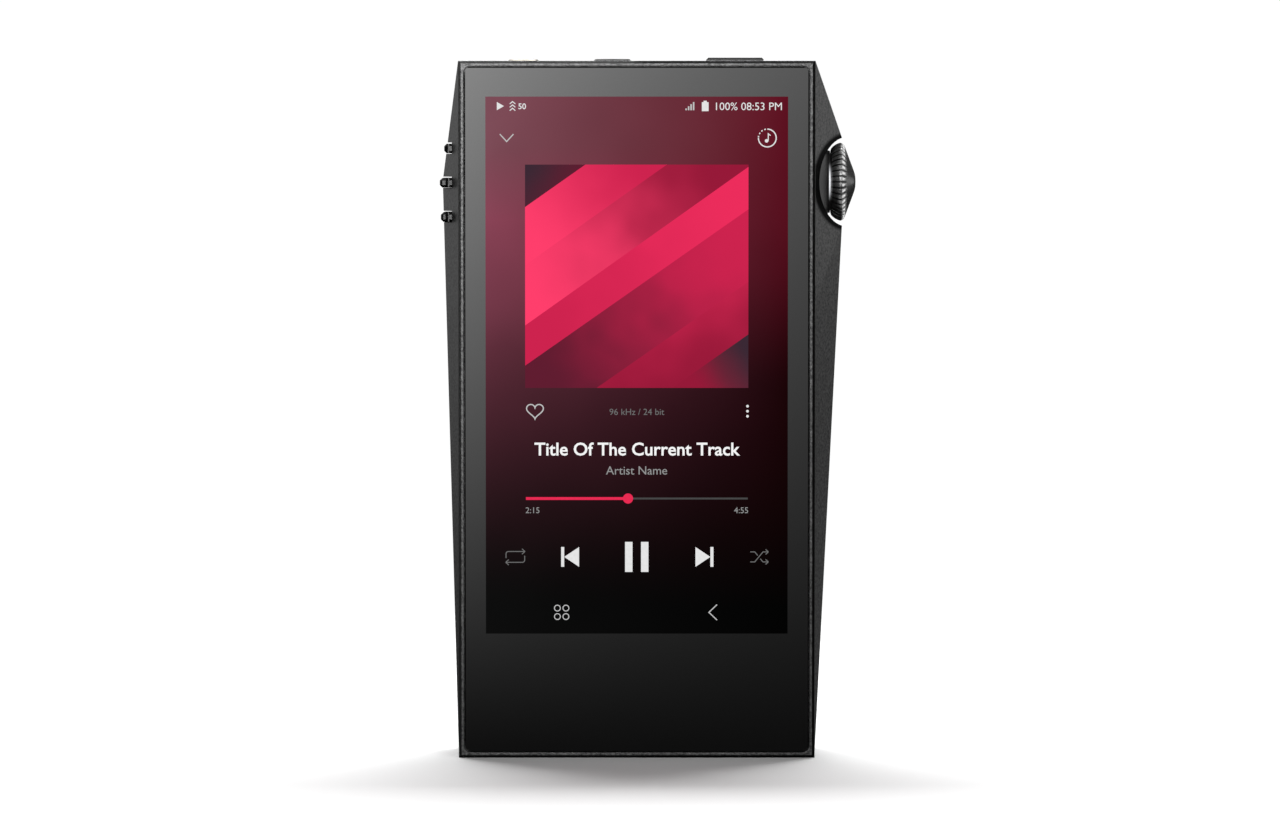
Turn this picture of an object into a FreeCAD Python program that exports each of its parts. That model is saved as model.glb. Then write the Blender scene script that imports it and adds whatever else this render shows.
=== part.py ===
import FreeCAD, Part
import math
import os

# Digital audio player: a faceted metal case with a glass front, a volume wheel on the right flank,
# three keys on the left flank, and two headphone jacks and a power key on top.
# Millimetres. X points right, Y points from the glass towards the back, Z points up.
# The origin is the centre of the flat face that the player stands on.

Vector = FreeCAD.Vector

# ---------------------------------------------------------------- case
case_width = 60.3
case_height = 118.0
case_depth = 18.3
half_width = case_width / 2
half_depth = case_depth / 2
rim_chamfer = 0.45
rim_land = 0.42
glass_gap = 0.17
corner_radius = 1.2
cover_thickness = 0.8
glass_setback = 0.05
gasket_thickness = 0.2
gasket_width = 0.9
ledge_width = 1.3
shoulder_width = 2.2
mid_frame_gap = 0.25
board_bay_inset = ledge_width + shoulder_width
flank_edge_y = half_depth - rim_chamfer

# ---------------------------------------------------------------- flanks
wheel_z = 97.55
wheel_reach = 34.9
wheel_pad_half_depth = 1.5
wheel_pad_half_height = 7.45
wheel_crease_z = 76.7
wheel_ridge_foot = 0.27
key_ridge_reach = 32.97
key_ridge_z = 97.75
key_ridge_half_depth = 2.0

# ---------------------------------------------------------------- layers, front to back
glass_front = -half_depth + glass_setback
glass_back = glass_front + cover_thickness
ledge_y = glass_back + gasket_thickness
touch_thickness = 0.2
panel_thickness = 1.15
backlight_thickness = 1.85
deck_front = -4.9
deck_thickness = 0.8
deck_back = deck_front + deck_thickness
board_thickness = 0.8
main_board_front = deck_back + 0.6
main_board_back = main_board_front + board_thickness
audio_board_front = 5.4
back_ledge_y = half_depth - cover_thickness - gasket_thickness

# ---------------------------------------------------------------- display
display_width = 54.6
display_bottom = 17.5
display_top = 113.9
touch_inset = 0.3
backlight_inset = 0.1
display_flex_half_width = 7.0
display_flex_overlap = 1.0
flex_window_gap = 0.5
antenna_width = 30.0
antenna_bottom = 4.0
antenna_height = 8.5
antenna_thickness = 1.6

# ---------------------------------------------------------------- volume wheel
pocket_radius = math.hypot(wheel_pad_half_height, wheel_pad_half_depth)
wheel_back_x = 33.0
wheel_front_x = 37.24
wheel_back_radius = 5.55
wheel_radius = 6.65
wheel_widest_x = 34.8
wheel_back_bulge = 0.14
wheel_rim = (35.04, 6.56)
wheel_shoulder = (35.4, 6.05)
wheel_tip_radius = 1.04
wheel_teeth = 40
tooth_depth = 0.42
tooth_gap_angle = 16
tooth_run_out = 0.4
hub_x = 32.35
hub_radius = 3.0
shaft_radius = 1.5
shaft_fit = 0.04
shaft_start_x = 22.4
shaft_end_x = 35.3
clip_x = 24.7
clip_thickness = 0.4
clip_radius = 2.9
clip_groove_radius = 1.2
bush_flange_x = 25.2
bush_flange_radius = 3.6
bush_radius = 2.4
bush_end_x = 32.0
nut_sides = 6
nut_across_flats = 6.0
nut_thickness = 1.0
washer_gap = 0.02
washer_thickness = 0.22
washer_radius = 2.9
pedestal_base_radius = 7.2
pedestal_top_radius = 5.35
pedestal_top_x = 32.58
pedestal_bore_radius = 3.4
pedestal_cavity_radius = 3.9
pedestal_lip = 0.2
light_ring_radius = 5.3
light_ring_fit = 0.05
light_ring_bore = 4.0
light_ring_stem = 4.75
light_ring_top_x = 32.84
led_board_thickness = 0.3
groove_depth = 1.1
magnet_radius = 2.5
magnet_thickness = 1.7
sensor_size = 4.0
sensor_thickness = 0.9
sensor_gap = 0.6
encoder_board_height = 13.0
encoder_board_gap = 0.05
encoder_rail = 2.0
encoder_front = -3.7
encoder_back = 4.5
bracket_thickness = 0.6
bracket_foot = 3.4

# ---------------------------------------------------------------- keys
key_travel = 0.3
key_clearance = 0.1
key_flange = 0.6
key_flange_thickness = 0.6
key_proud = 0.4
key_play = 0.12
side_key_bevel = 0.42
side_key_height = 1.62
side_key_half_length = 5.85
side_key_heights = (103.2, 97.4, 91.6)
side_key_names = ("previous_button", "play_button", "next_button")
key_notch_x = -32.17
key_notch_width = 0.4
key_notch_depth = 0.45
side_pocket_x = -29.2
side_pocket_bottom = 89.5
side_pocket_top = 105.5
side_bracket_screw_offset = 1.7
side_bracket_end = 1.3
side_bracket_inset = 0.2
power_key_x = 16.7
power_key_bevel = 0.3
power_key_width = 9.7
power_key_depth = 3.6
power_key_proud = 0.62
power_pocket_z = 116.3
power_pocket_half_width = 6.6
power_pocket_half_depth = 3.9
power_bracket_screw_offset = 1.0
power_bracket_end = 1.2
switch_width = 3.0
switch_height = 2.6
switch_body = 0.8
plunger_radius = 0.75
plunger_gap = 0.05
switch_board_thickness = 0.5
switch_board_gap = 0.2

# ---------------------------------------------------------------- jacks and ports
jack_y = 1.8
small_jack_x = -19.3
small_bore_radius = 1.82
small_nozzle_radius = 2.2
small_collar_radius = 2.6
small_collar_proud = 0.35
small_jack_width = 6.4
small_jack_bottom = 99.0
small_bore_length = 15.0
large_jack_x = -4.15
large_bore_radius = 2.27
large_nozzle_radius = 2.75
large_collar_radius = 3.15
large_collar_proud = 0.4
large_jack_width = 9.0
large_jack_bottom = 95.8
large_bore_length = 19.5
jack_body_half_depth = 3.6
jack_body_top = 113.5
jack_nozzle_top = 117.6
collar_depth = 1.8
collar_bevel_share = 0.6
jack_fit = 0.05
contact_thickness = 0.25
contact_width = 1.4
contact_length = 10.0
contact_lift = 1.5
usb_y = 0.15
usb_width = 8.94
usb_height = 3.2
usb_wall = 0.3
usb_bottom = 0.35
usb_top = 7.7
usb_tongue_width = 6.69
usb_tongue_thickness = 0.7
usb_tongue_length = 5.2
usb_hole_gap = 0.12
card_x = 15.5
card_width = 14.0
card_thickness = 1.5
card_slot_width = 11.4
card_slot_thickness = 0.9
card_stop = 0.8
card_socket_bottom = 4.5
card_socket_top = 18.0
port_board_front = 1.75
port_board_left = -14.0
port_board_right = 25.2
port_board_bottom = 4.6
port_board_top = 18.2

# ---------------------------------------------------------------- boards and battery
board_bottom = 67.0
flex_bend_z = board_bottom + 1.6
main_board_left = -22.0
main_board_right = 14.0
main_board_top = 94.8
audio_board_half_width = 25.5
audio_board_top = 113.0
can_wall = 0.2
can_bottom = 71.0
processor_can = (-19.0, -3.0, can_bottom, 89.0)
processor_can_depth = 1.7
wireless_can = (-1.0, 11.0, 72.0, 88.0)
wireless_can_depth = 1.5
thermal_pad_inset = 1.0
dac_can = (-21.0, -2.0, can_bottom, 92.0)
amplifier_can = (0.0, 16.0, can_bottom, 92.0)
audio_can_depth = 2.8
battery_half_width = 24.0
battery_bottom = 19.5
battery_top = 64.5
battery_back = 5.2
battery_gap = 0.3
flex_thickness = 0.15
connector_height = 2.0
connector_depth = 1.0
connector_lift = 0.4
battery_lead_x = -14.0
battery_lead_width = 3.0
battery_lead_overlap = 4.0
battery_connector_width = 5.0
port_flex_x = 8.0
port_flex_width = 6.0
port_connector_width = 7.0
link_flex_span = (-14.0, -8.8)
link_flex_z = 93.2
link_flex_tab = 1.4
capacitor_radius = 2.0
capacitor_length = 3.0
capacitor_places = ((4.0, 98.0), (4.0, 104.0), (9.0, 98.0), (9.0, 104.0))

# ---------------------------------------------------------------- fasteners
screw_radius = 0.5
screw_hole = 0.55
screw_pass = 0.75
screw_head_radius = 0.95
screw_head_height = 0.5
deck_seat_radius = 1.0
screw_drive_radius = 0.35
screw_drive_depth = 0.3
pillar_radius = 1.4
pillar_x = 24.0
audio_pillar_heights = (69.2, 110.5)
port_pillar_z = 11.0
port_pillar_x = (-11.5, 24.0)
main_spacer_places = ((-20.3, 68.8), (12.3, 68.8), (-20.3, 93.0), (12.3, 93.0))
deck_screw_x = half_width - rim_chamfer - rim_land - ledge_width - shoulder_width / 2
deck_screw_heights = (8.0, 42.0, 76.0, 110.0)
deck_screw_length = 2.6
wall_screw_length = 2.4
screw_end_gap = 0.1
board_screw_length = main_board_back - deck_front - screw_end_gap
bracket_screw_end_gap = 0.3
bracket_screw_length = wall_screw_length + bracket_thickness - bracket_screw_end_gap

# how far each cutting shape runs past the surface it opens, and how near an edge lies to its face
overcut = 1.0
edge_tolerance = 0.001

nodes = {}


# ---------------------------------------------------------------- shape helpers
def block(low_x, high_x, low_y, high_y, low_z, high_z):
    """A box between two opposite corners."""
    size = (high_x - low_x, high_y - low_y, high_z - low_z)
    return Part.makeBox(*size, Vector(low_x, low_y, low_z))


def rod(radius, start, end):
    """A cylinder between two points."""
    along = Vector(*end) - Vector(*start)
    return Part.makeCylinder(radius, along.Length, Vector(*start), along)


def tube(outer, inner, start, end):
    """A hollow cylinder between two points."""
    return rod(outer, start, end).cut(rod(inner, start, end))


def edges_at(solid, axis, place):
    """The edges whose middles lie at one place along an axis."""
    return [edge for edge in solid.Edges if abs(getattr(edge.CenterOfMass, axis) - place) < edge_tolerance]


def upright_plate(half_x, low_z, high_z, low_y, high_y, radius):
    """A plate that faces the front, with rounded corners."""
    plate = block(-half_x, half_x, low_y, high_y, low_z, high_z)
    return plate.makeFillet(radius, edges_at(plate, "y", (low_y + high_y) / 2))


def framed(outer, inner):
    """One plate with another taken out of its middle."""
    return outer.cut(inner)


def joined(first, *others):
    """One solid from several that touch or overlap."""
    return first.fuse(list(others)).removeSplitter()


def grouped(shapes):
    """Separate solids that share one node."""
    return Part.makeCompound(list(shapes))


def flat_sided(points, faces):
    """A solid from named corner points and the flat faces between them."""
    sides = []
    for corners in faces:
        loop = [points[name] for name in corners]
        sides.append(Part.Face(Part.makePolygon(loop + loop[:1])))
    solid = Part.Solid(Part.Shell(sides))
    if solid.Volume < 0:
        solid.reverse()
    return solid


def on_wheel(x, radius):
    """A point in the half plane that is turned about the wheel's axis."""
    return Vector(x, 0, wheel_z + radius)


def turned_about_wheel(edges):
    """A solid of revolution about the wheel's axis."""
    face = Part.Face(Part.Wire(edges))
    return face.revolve(Vector(0, 0, wheel_z), Vector(1, 0, 0), 360)


def outline(points):
    """Straight edges that close a loop of points."""
    following = points[1:] + points[:1]
    return [Part.makeLine(start, end) for start, end in zip(points, following)]


def screw(seat, direction, length):
    """A pan-head screw: its head stands on the seat and its shank runs along the direction."""
    seat = Vector(*seat)
    into = Vector(*direction)
    head = Part.makeCylinder(screw_head_radius, screw_head_height, seat, into * -1)
    shank = Part.makeCylinder(screw_radius, length, seat, into)
    drive_floor = seat - into * (screw_head_height - screw_drive_depth)
    drive = Part.makeCylinder(screw_drive_radius, screw_drive_depth, drive_floor, into * -1)
    return joined(head, shank).cut(drive)


def can(footprint, open_y, closed_y):
    """A sheet-metal shield: a box that is open towards the board it covers."""
    low_x, high_x, low_z, high_z = footprint
    shell = block(low_x, high_x, min(open_y, closed_y), max(open_y, closed_y), low_z, high_z)
    step = math.copysign(can_wall, open_y - closed_y)
    inside_y = sorted((open_y + step, closed_y + step))
    hollow = block(low_x + can_wall, high_x - can_wall, *inside_y, low_z + can_wall, high_z - can_wall)
    return shell.cut(hollow)


# ---------------------------------------------------------------- case
def opening_size(extra):
    """Half width, lowest z and highest z of the front opening, made smaller by extra."""
    inset = rim_chamfer + rim_land + extra
    return half_width - inset, inset, case_height - inset


def opening_plate(extra, low_y, high_y):
    """A rounded plate that fills the opening, made smaller all round by extra."""
    half_x, low_z, high_z = opening_size(extra)
    return upright_plate(half_x, low_z, high_z, low_y, high_y, corner_radius)


def case_block():
    """The straight-sided core of the case, chamfered along its front and back edges."""
    core = block(-half_width, half_width, -half_depth, half_depth, 0, case_height)
    rim = edges_at(core, "y", -half_depth) + edges_at(core, "y", half_depth)
    return core.makeChamfer(rim_chamfer, rim)


def wheel_flank():
    """The right flank: facets that rise from the case to a narrow pad around the wheel."""
    low_z = wheel_z - wheel_pad_half_height
    high_z = wheel_z + wheel_pad_half_height
    points = {"ridge_foot": Vector(half_width + wheel_ridge_foot, 0, 0)}
    for side, sign in (("front", -1), ("back", 1)):
        points["top_" + side] = Vector(half_width, sign * flank_edge_y, case_height)
        points["crease_" + side] = Vector(half_width, sign * flank_edge_y, wheel_crease_z)
        points["foot_" + side] = Vector(half_width, sign * flank_edge_y, 0)
        points["pad_top_" + side] = Vector(wheel_reach, sign * wheel_pad_half_depth, high_z)
        points["pad_low_" + side] = Vector(wheel_reach, sign * wheel_pad_half_depth, low_z)
    faces = [
        ("top_front", "pad_top_front", "pad_low_front", "crease_front"),
        ("top_back", "crease_back", "pad_low_back", "pad_top_back"),
        ("top_front", "top_back", "pad_top_back", "pad_top_front"),
        ("pad_top_front", "pad_top_back", "pad_low_back", "pad_low_front"),
        ("crease_front", "pad_low_front", "ridge_foot"),
        ("crease_back", "ridge_foot", "pad_low_back"),
        ("pad_low_front", "pad_low_back", "ridge_foot"),
        ("crease_front", "ridge_foot", "foot_front"),
        ("crease_back", "foot_back", "ridge_foot"),
        ("foot_front", "ridge_foot", "foot_back"),
        ("top_front", "foot_front", "foot_back", "top_back"),
    ]
    return flat_sided(points, faces)


def key_flank():
    """The left flank: one long facet at the front and one at the back, meeting a short ridge."""
    points = {}
    for side, sign in (("front", -1), ("back", 1)):
        points["top_" + side] = Vector(-half_width, sign * flank_edge_y, case_height)
        points["foot_" + side] = Vector(-half_width, sign * flank_edge_y, 0)
        points["ridge_" + side] = Vector(-key_ridge_reach, sign * key_ridge_half_depth, key_ridge_z)
    faces = [
        ("top_front", "foot_front", "ridge_front"),
        ("top_back", "ridge_back", "foot_back"),
        ("top_front", "ridge_front", "ridge_back", "top_back"),
        ("foot_front", "foot_back", "ridge_back", "ridge_front"),
        ("top_front", "top_back", "foot_back", "foot_front"),
    ]
    return flat_sided(points, faces)


def case_hollow():
    """The space for glass, display, boards and back cover, with a ledge at each step."""
    front_seat = opening_plate(0, -half_depth - overcut, ledge_y)
    display_bay = opening_plate(ledge_width, ledge_y, deck_back)
    board_bay = opening_plate(board_bay_inset, deck_back, back_ledge_y)
    back_seat = opening_plate(0, back_ledge_y, half_depth + overcut)
    return [front_seat, display_bay, board_bay, back_seat]


def board_bay_half_width():
    return opening_size(board_bay_inset)[0]


def board_bay_top():
    return opening_size(board_bay_inset)[2]


def wheel_openings():
    """The round pocket that the wheel turns in and the hole for its bush."""
    pocket = rod(pocket_radius, (half_width, 0, wheel_z), (wheel_reach + overcut, 0, wheel_z))
    hole_start = (board_bay_half_width() - overcut, 0, wheel_z)
    hole = rod(bush_radius + jack_fit, hole_start, (half_width + overcut, 0, wheel_z))
    return [pocket, hole]


def side_key_openings():
    """A slot for each side key and the pocket behind them for flanges and switches."""
    outside = -key_ridge_reach - overcut
    half_length = side_key_half_length + key_clearance
    half_height = side_key_height / 2 + key_clearance
    cuts = []
    for z in side_key_heights:
        low_z = z - half_height
        high_z = z + half_height + key_play
        cuts.append(block(outside, side_pocket_x, -half_length, half_length, low_z, high_z))
    reach = half_length + key_flange
    inside = -board_bay_half_width() + overcut
    cuts.append(block(side_pocket_x, inside, -reach, reach, side_pocket_bottom, side_pocket_top))
    return cuts


def power_key_openings():
    """The slot for the power key and the pocket below it for its flange and switch."""
    half_x = power_key_width / 2 + key_clearance
    half_y = power_key_depth / 2 + key_clearance
    slot = block(power_key_x - half_x, power_key_x + half_x, -half_y, half_y,
                 power_pocket_z, case_height + overcut)
    pocket = block(power_key_x - power_pocket_half_width, power_key_x + power_pocket_half_width,
                   -power_pocket_half_depth, power_pocket_half_depth,
                   board_bay_top() - overcut, power_pocket_z)
    return [slot, pocket]


def jack_openings(x, nozzle_radius, collar_radius):
    """The hole for a jack's nozzle, with a wider seat at its mouth for the collar."""
    bottom = (x, jack_y, board_bay_top() - overcut)
    seat = (x, jack_y, case_height - collar_depth)
    mouth = (x, jack_y, case_height + overcut)
    return [rod(nozzle_radius + jack_fit, bottom, mouth), rod(collar_radius + jack_fit, seat, mouth)]


def stadium(x, y, half_x, radius, low_z, high_z):
    """A flat bar with round ends, standing upright."""
    reach = half_x - radius
    middle = block(x - reach, x + reach, y - radius, y + radius, low_z, high_z)
    ends = [rod(radius, (x + side * reach, y, low_z), (x + side * reach, y, high_z)) for side in (-1, 1)]
    return joined(middle, *ends)


def port_openings():
    """The charging port's hole and the card slot through the bottom wall."""
    top = opening_size(board_bay_inset)[1] + overcut
    half_x = usb_width / 2 + usb_hole_gap
    charging = stadium(0, usb_y, half_x, usb_height / 2 + usb_hole_gap, -overcut, top)
    card_y = port_board_front - card_thickness / 2
    half_card = card_slot_width / 2 + usb_hole_gap
    card = block(card_x - half_card, card_x + half_card, card_y - card_slot_thickness / 2,
                 card_y + card_slot_thickness / 2, -overcut, top)
    return [charging, card]


def deck_screw_places():
    """Where the screws stand that hold the mid frame down."""
    return [(side * deck_screw_x, z) for side in (-1, 1) for z in deck_screw_heights]


def side_bracket_screw_heights():
    return (side_pocket_bottom - side_bracket_screw_offset, side_pocket_top + side_bracket_screw_offset)


def power_bracket_screw_places():
    reach = power_pocket_half_width + power_bracket_screw_offset
    return (power_key_x - reach, power_key_x + reach)


def encoder_foot_heights():
    reach = encoder_board_height / 2 + bracket_thickness + bracket_foot / 2
    return (wheel_z - reach, wheel_z + reach)


def case_screw_holes():
    """Blind holes in the walls for the mid frame's and the brackets' screws."""
    holes = [rod(screw_hole, (x, deck_back, z), (x, deck_back + deck_screw_length, z))
             for x, z in deck_screw_places()]
    wall = board_bay_half_width()
    for z in side_bracket_screw_heights():
        holes.append(rod(screw_hole, (-wall, 0, z), (-wall - wall_screw_length, 0, z)))
    for z in encoder_foot_heights():
        holes.append(rod(screw_hole, (wall, 0, z), (wall + wall_screw_length, 0, z)))
    top = board_bay_top()
    for x in power_bracket_screw_places():
        holes.append(rod(screw_hole, (x, 0, top - bracket_thickness), (x, 0, top + wall_screw_length)))
    return holes


def chassis():
    """The machined case that everything else is fitted into."""
    solid = joined(case_block(), wheel_flank(), key_flank())
    cuts = case_hollow() + wheel_openings() + side_key_openings() + power_key_openings()
    cuts += jack_openings(small_jack_x, small_nozzle_radius, small_collar_radius)
    cuts += jack_openings(large_jack_x, large_nozzle_radius, large_collar_radius)
    cuts += port_openings() + case_screw_holes()
    return solid.cut(cuts).removeSplitter()


def cover_plate(low_y, high_y):
    return opening_plate(glass_gap, low_y, high_y)


def edge_gasket(low_y, high_y):
    """The adhesive frame between a cover plate and its ledge."""
    outer = opening_plate(glass_gap * 2, low_y, high_y)
    inner = opening_plate(glass_gap * 2 + gasket_width, low_y, high_y)
    return framed(outer, inner)


def add_covers():
    nodes["chassis"] = chassis()
    nodes["front_glass"] = cover_plate(glass_front, glass_back)
    nodes["glass_gasket"] = edge_gasket(glass_back, ledge_y)
    nodes["back_cover"] = cover_plate(half_depth - cover_thickness, half_depth)
    nodes["back_gasket"] = edge_gasket(back_ledge_y, half_depth - cover_thickness)


# ---------------------------------------------------------------- display
def display_layer(inset, low_y, thickness):
    half_x = display_width / 2 - inset
    return upright_plate(half_x, display_bottom + inset, display_top - inset,
                         low_y, low_y + thickness, corner_radius / 2)


def display_flex():
    """The ribbon that leaves the display at its foot and passes through the mid frame."""
    half_x = display_flex_half_width
    flat_y = deck_front - flex_thickness
    flat = block(-half_x, half_x, flat_y, deck_front, display_bottom + display_flex_overlap, flex_bend_z)
    through = block(-half_x, half_x, flat_y, main_board_front, flex_bend_z, flex_bend_z + flex_thickness)
    return joined(flat, through)


def flex_window():
    """The slot in the mid frame that the display's ribbon passes through."""
    half_x = display_flex_half_width + flex_window_gap
    return block(-half_x, half_x, deck_front - overcut, deck_back + overcut,
                 flex_bend_z - flex_window_gap, flex_bend_z + flex_thickness + flex_window_gap)


def mid_frame():
    """The plate between display and electronics, with its screw and spacer holes."""
    half_x, low_z, high_z = opening_size(ledge_width + mid_frame_gap)
    plate = upright_plate(half_x, low_z, high_z, deck_front, deck_back, corner_radius)
    front = deck_front - overcut
    back = deck_back + overcut
    holes = [rod(screw_pass, (x, front, z), (x, back, z)) for x, z in deck_screw_places()]
    threaded = list(main_spacer_places)
    threaded += audio_pillar_places()
    threaded += [(x, port_pillar_z) for x in port_pillar_x]
    holes += [rod(screw_hole, (x, front, z), (x, back, z)) for x, z in threaded]
    holes += [rod(deck_seat_radius, (x, front, z), (x, deck_front + screw_head_height, z))
              for x, z in deck_screw_places()]
    return plate.cut(holes + [flex_window()])


def add_display():
    layer_y = glass_back
    nodes["touch_sensor"] = display_layer(touch_inset, layer_y, touch_thickness)
    layer_y += touch_thickness
    nodes["lcd_panel"] = display_layer(0, layer_y, panel_thickness)
    layer_y += panel_thickness
    nodes["backlight_unit"] = display_layer(backlight_inset, layer_y, backlight_thickness)
    nodes["display_flex"] = display_flex()
    nodes["mid_frame"] = mid_frame()
    nodes["antenna"] = upright_plate(antenna_width / 2, antenna_bottom, antenna_bottom + antenna_height,
                                     ledge_y, ledge_y + antenna_thickness, corner_radius)


# ---------------------------------------------------------------- volume wheel
def wheel_tooth_gap():
    """One groove of the knurl: a wedge along the wheel's slanted back."""
    rise = overcut * math.tan(math.radians(tooth_gap_angle))
    root_back = on_wheel(wheel_back_x - tooth_run_out, wheel_back_radius - tooth_depth - tooth_run_out / 2)
    root_front = on_wheel(wheel_shoulder[0] + tooth_run_out, wheel_radius - tooth_depth)
    sides = []
    for root in (root_back, root_front):
        left = root + Vector(0, -rise, overcut)
        right = root + Vector(0, rise, overcut)
        sides.append(Part.makePolygon([root, left, right, root]))
    return Part.makeLoft(sides, True)


def wheel_blank():
    """The wheel before knurling: rounded back, short shoulder and a cone to its tip."""
    middle_x = (wheel_back_x + wheel_widest_x) / 2
    middle = on_wheel(middle_x, (wheel_back_radius + wheel_radius) / 2 + wheel_back_bulge)
    rim_back = on_wheel(wheel_back_x, wheel_back_radius)
    rim_top = on_wheel(wheel_widest_x, wheel_radius)
    points = [rim_top, on_wheel(*wheel_rim), on_wheel(*wheel_shoulder),
              on_wheel(wheel_front_x, wheel_tip_radius), on_wheel(wheel_front_x, 0),
              on_wheel(shaft_end_x, 0), on_wheel(shaft_end_x, shaft_radius),
              on_wheel(hub_x, shaft_radius), on_wheel(hub_x, hub_radius),
              on_wheel(wheel_back_x, hub_radius), rim_back]
    edges = [Part.makeLine(start, end) for start, end in zip(points, points[1:])]
    edges.append(Part.Arc(rim_back, middle, rim_top).toShape())
    return turned_about_wheel(edges)


def volume_wheel():
    gap = wheel_tooth_gap()
    gaps = []
    for tooth in range(wheel_teeth):
        turned = gap.copy()
        turned.rotate(Vector(0, 0, wheel_z), Vector(1, 0, 0), 360 * tooth / wheel_teeth)
        gaps.append(turned)
    return wheel_blank().cut(gaps)


def wheel_shaft():
    """The steel shaft, with a groove for its clip."""
    bar = rod(shaft_radius, (shaft_start_x, 0, wheel_z), (shaft_end_x, 0, wheel_z))
    groove = tube(shaft_radius + overcut, clip_groove_radius, (clip_x, 0, wheel_z),
                  (clip_x + clip_thickness, 0, wheel_z))
    return bar.cut(groove)


def shaft_clip():
    """The open ring that snaps into the shaft's groove."""
    ring = tube(clip_radius, clip_groove_radius, (clip_x, 0, wheel_z),
                (clip_x + clip_thickness, 0, wheel_z))
    mouth = block(clip_x - overcut, clip_x + overcut, -clip_groove_radius, clip_groove_radius,
                  wheel_z - clip_radius - overcut, wheel_z)
    return ring.cut(mouth)


def wheel_bushing():
    """The flanged bush that the shaft turns in."""
    wall_x = board_bay_half_width()
    flange = rod(bush_flange_radius, (bush_flange_x, 0, wheel_z), (wall_x, 0, wheel_z))
    barrel = rod(bush_radius, (wall_x, 0, wheel_z), (bush_end_x, 0, wheel_z))
    bore_start = (bush_flange_x - overcut, 0, wheel_z)
    bore = rod(shaft_radius + shaft_fit, bore_start, (bush_end_x + overcut, 0, wheel_z))
    return joined(flange, barrel).cut(bore)


def bushing_nut():
    """The six-sided nut that clamps the bush to the case wall."""
    corner = nut_across_flats / 2 / math.cos(math.pi / nut_sides)
    points = []
    for turn in range(nut_sides):
        angle = math.tau * turn / nut_sides
        points.append(Vector(half_width, corner * math.sin(angle), wheel_z + corner * math.cos(angle)))
    body = Part.Face(Part.makePolygon(points + points[:1])).extrude(Vector(nut_thickness, 0, 0))
    hole_end = (half_width + nut_thickness + overcut, 0, wheel_z)
    hole = rod(bush_radius + jack_fit, (half_width - overcut, 0, wheel_z), hole_end)
    return body.cut(hole)


def pedestal_groove_floor():
    return pedestal_top_x - groove_depth


def wheel_pedestal():
    """The cone under the wheel, which hides the nut and holds the light ring."""
    cavity_top = half_width + nut_thickness + pedestal_lip
    floor_x = pedestal_groove_floor()
    groove_outer = light_ring_stem + light_ring_fit
    groove_inner = light_ring_bore - light_ring_fit
    points = [(half_width, pedestal_cavity_radius), (half_width, pedestal_base_radius),
              (pedestal_top_x, pedestal_top_radius), (pedestal_top_x, groove_outer),
              (floor_x, groove_outer), (floor_x, groove_inner),
              (pedestal_top_x, groove_inner), (pedestal_top_x, pedestal_bore_radius),
              (cavity_top, pedestal_bore_radius), (cavity_top, pedestal_cavity_radius)]
    return turned_about_wheel(outline([on_wheel(x, radius) for x, radius in points]))


def light_ring():
    """The light guide: a thin visible collar on a stem that sits in the pedestal's groove."""
    stem_x = pedestal_groove_floor() + led_board_thickness
    points = [(stem_x, light_ring_bore), (stem_x, light_ring_stem), (pedestal_top_x, light_ring_stem),
              (pedestal_top_x, light_ring_radius), (light_ring_top_x, light_ring_radius),
              (light_ring_top_x, light_ring_bore)]
    return turned_about_wheel(outline([on_wheel(x, radius) for x, radius in points]))


def wheel_led_board():
    floor_x = pedestal_groove_floor()
    return tube(light_ring_stem, light_ring_bore, (floor_x, 0, wheel_z),
                (floor_x + led_board_thickness, 0, wheel_z))


def thrust_washer():
    start_x = bush_end_x + washer_gap
    return tube(washer_radius, shaft_radius + shaft_fit, (start_x, 0, wheel_z),
                (start_x + washer_thickness, 0, wheel_z))


def encoder_board_back_x():
    return shaft_start_x - magnet_thickness - sensor_gap - sensor_thickness


def encoder_bracket():
    """The U-shaped holder that carries the encoder board from the case wall."""
    board_x = encoder_board_back_x() - board_thickness
    plate_x = board_x - bracket_thickness
    wall_x = board_bay_half_width()
    half_z = encoder_board_height / 2
    reach = half_z + bracket_thickness
    pieces = [block(plate_x, board_x, encoder_front, encoder_back, wheel_z - reach, wheel_z + reach)]
    for side in (-1, 1):
        arm = sorted((wheel_z + side * half_z, wheel_z + side * reach))
        pieces.append(block(plate_x, wall_x, encoder_front, encoder_back, *arm))
        foot = sorted((wheel_z + side * half_z, wheel_z + side * (reach + bracket_foot)))
        pieces.append(block(wall_x - bracket_thickness, wall_x, encoder_front, encoder_back, *foot))
    window_half_z = half_z - encoder_rail
    window = block(plate_x - overcut, board_x + overcut, encoder_front + encoder_rail,
                   encoder_back - encoder_rail, wheel_z - window_half_z, wheel_z + window_half_z)
    foot_front = wall_x - bracket_thickness - overcut
    holes = [rod(screw_pass, (foot_front, 0, z), (wall_x + overcut, 0, z)) for z in encoder_foot_heights()]
    return joined(*pieces).cut(holes + [window])


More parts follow.
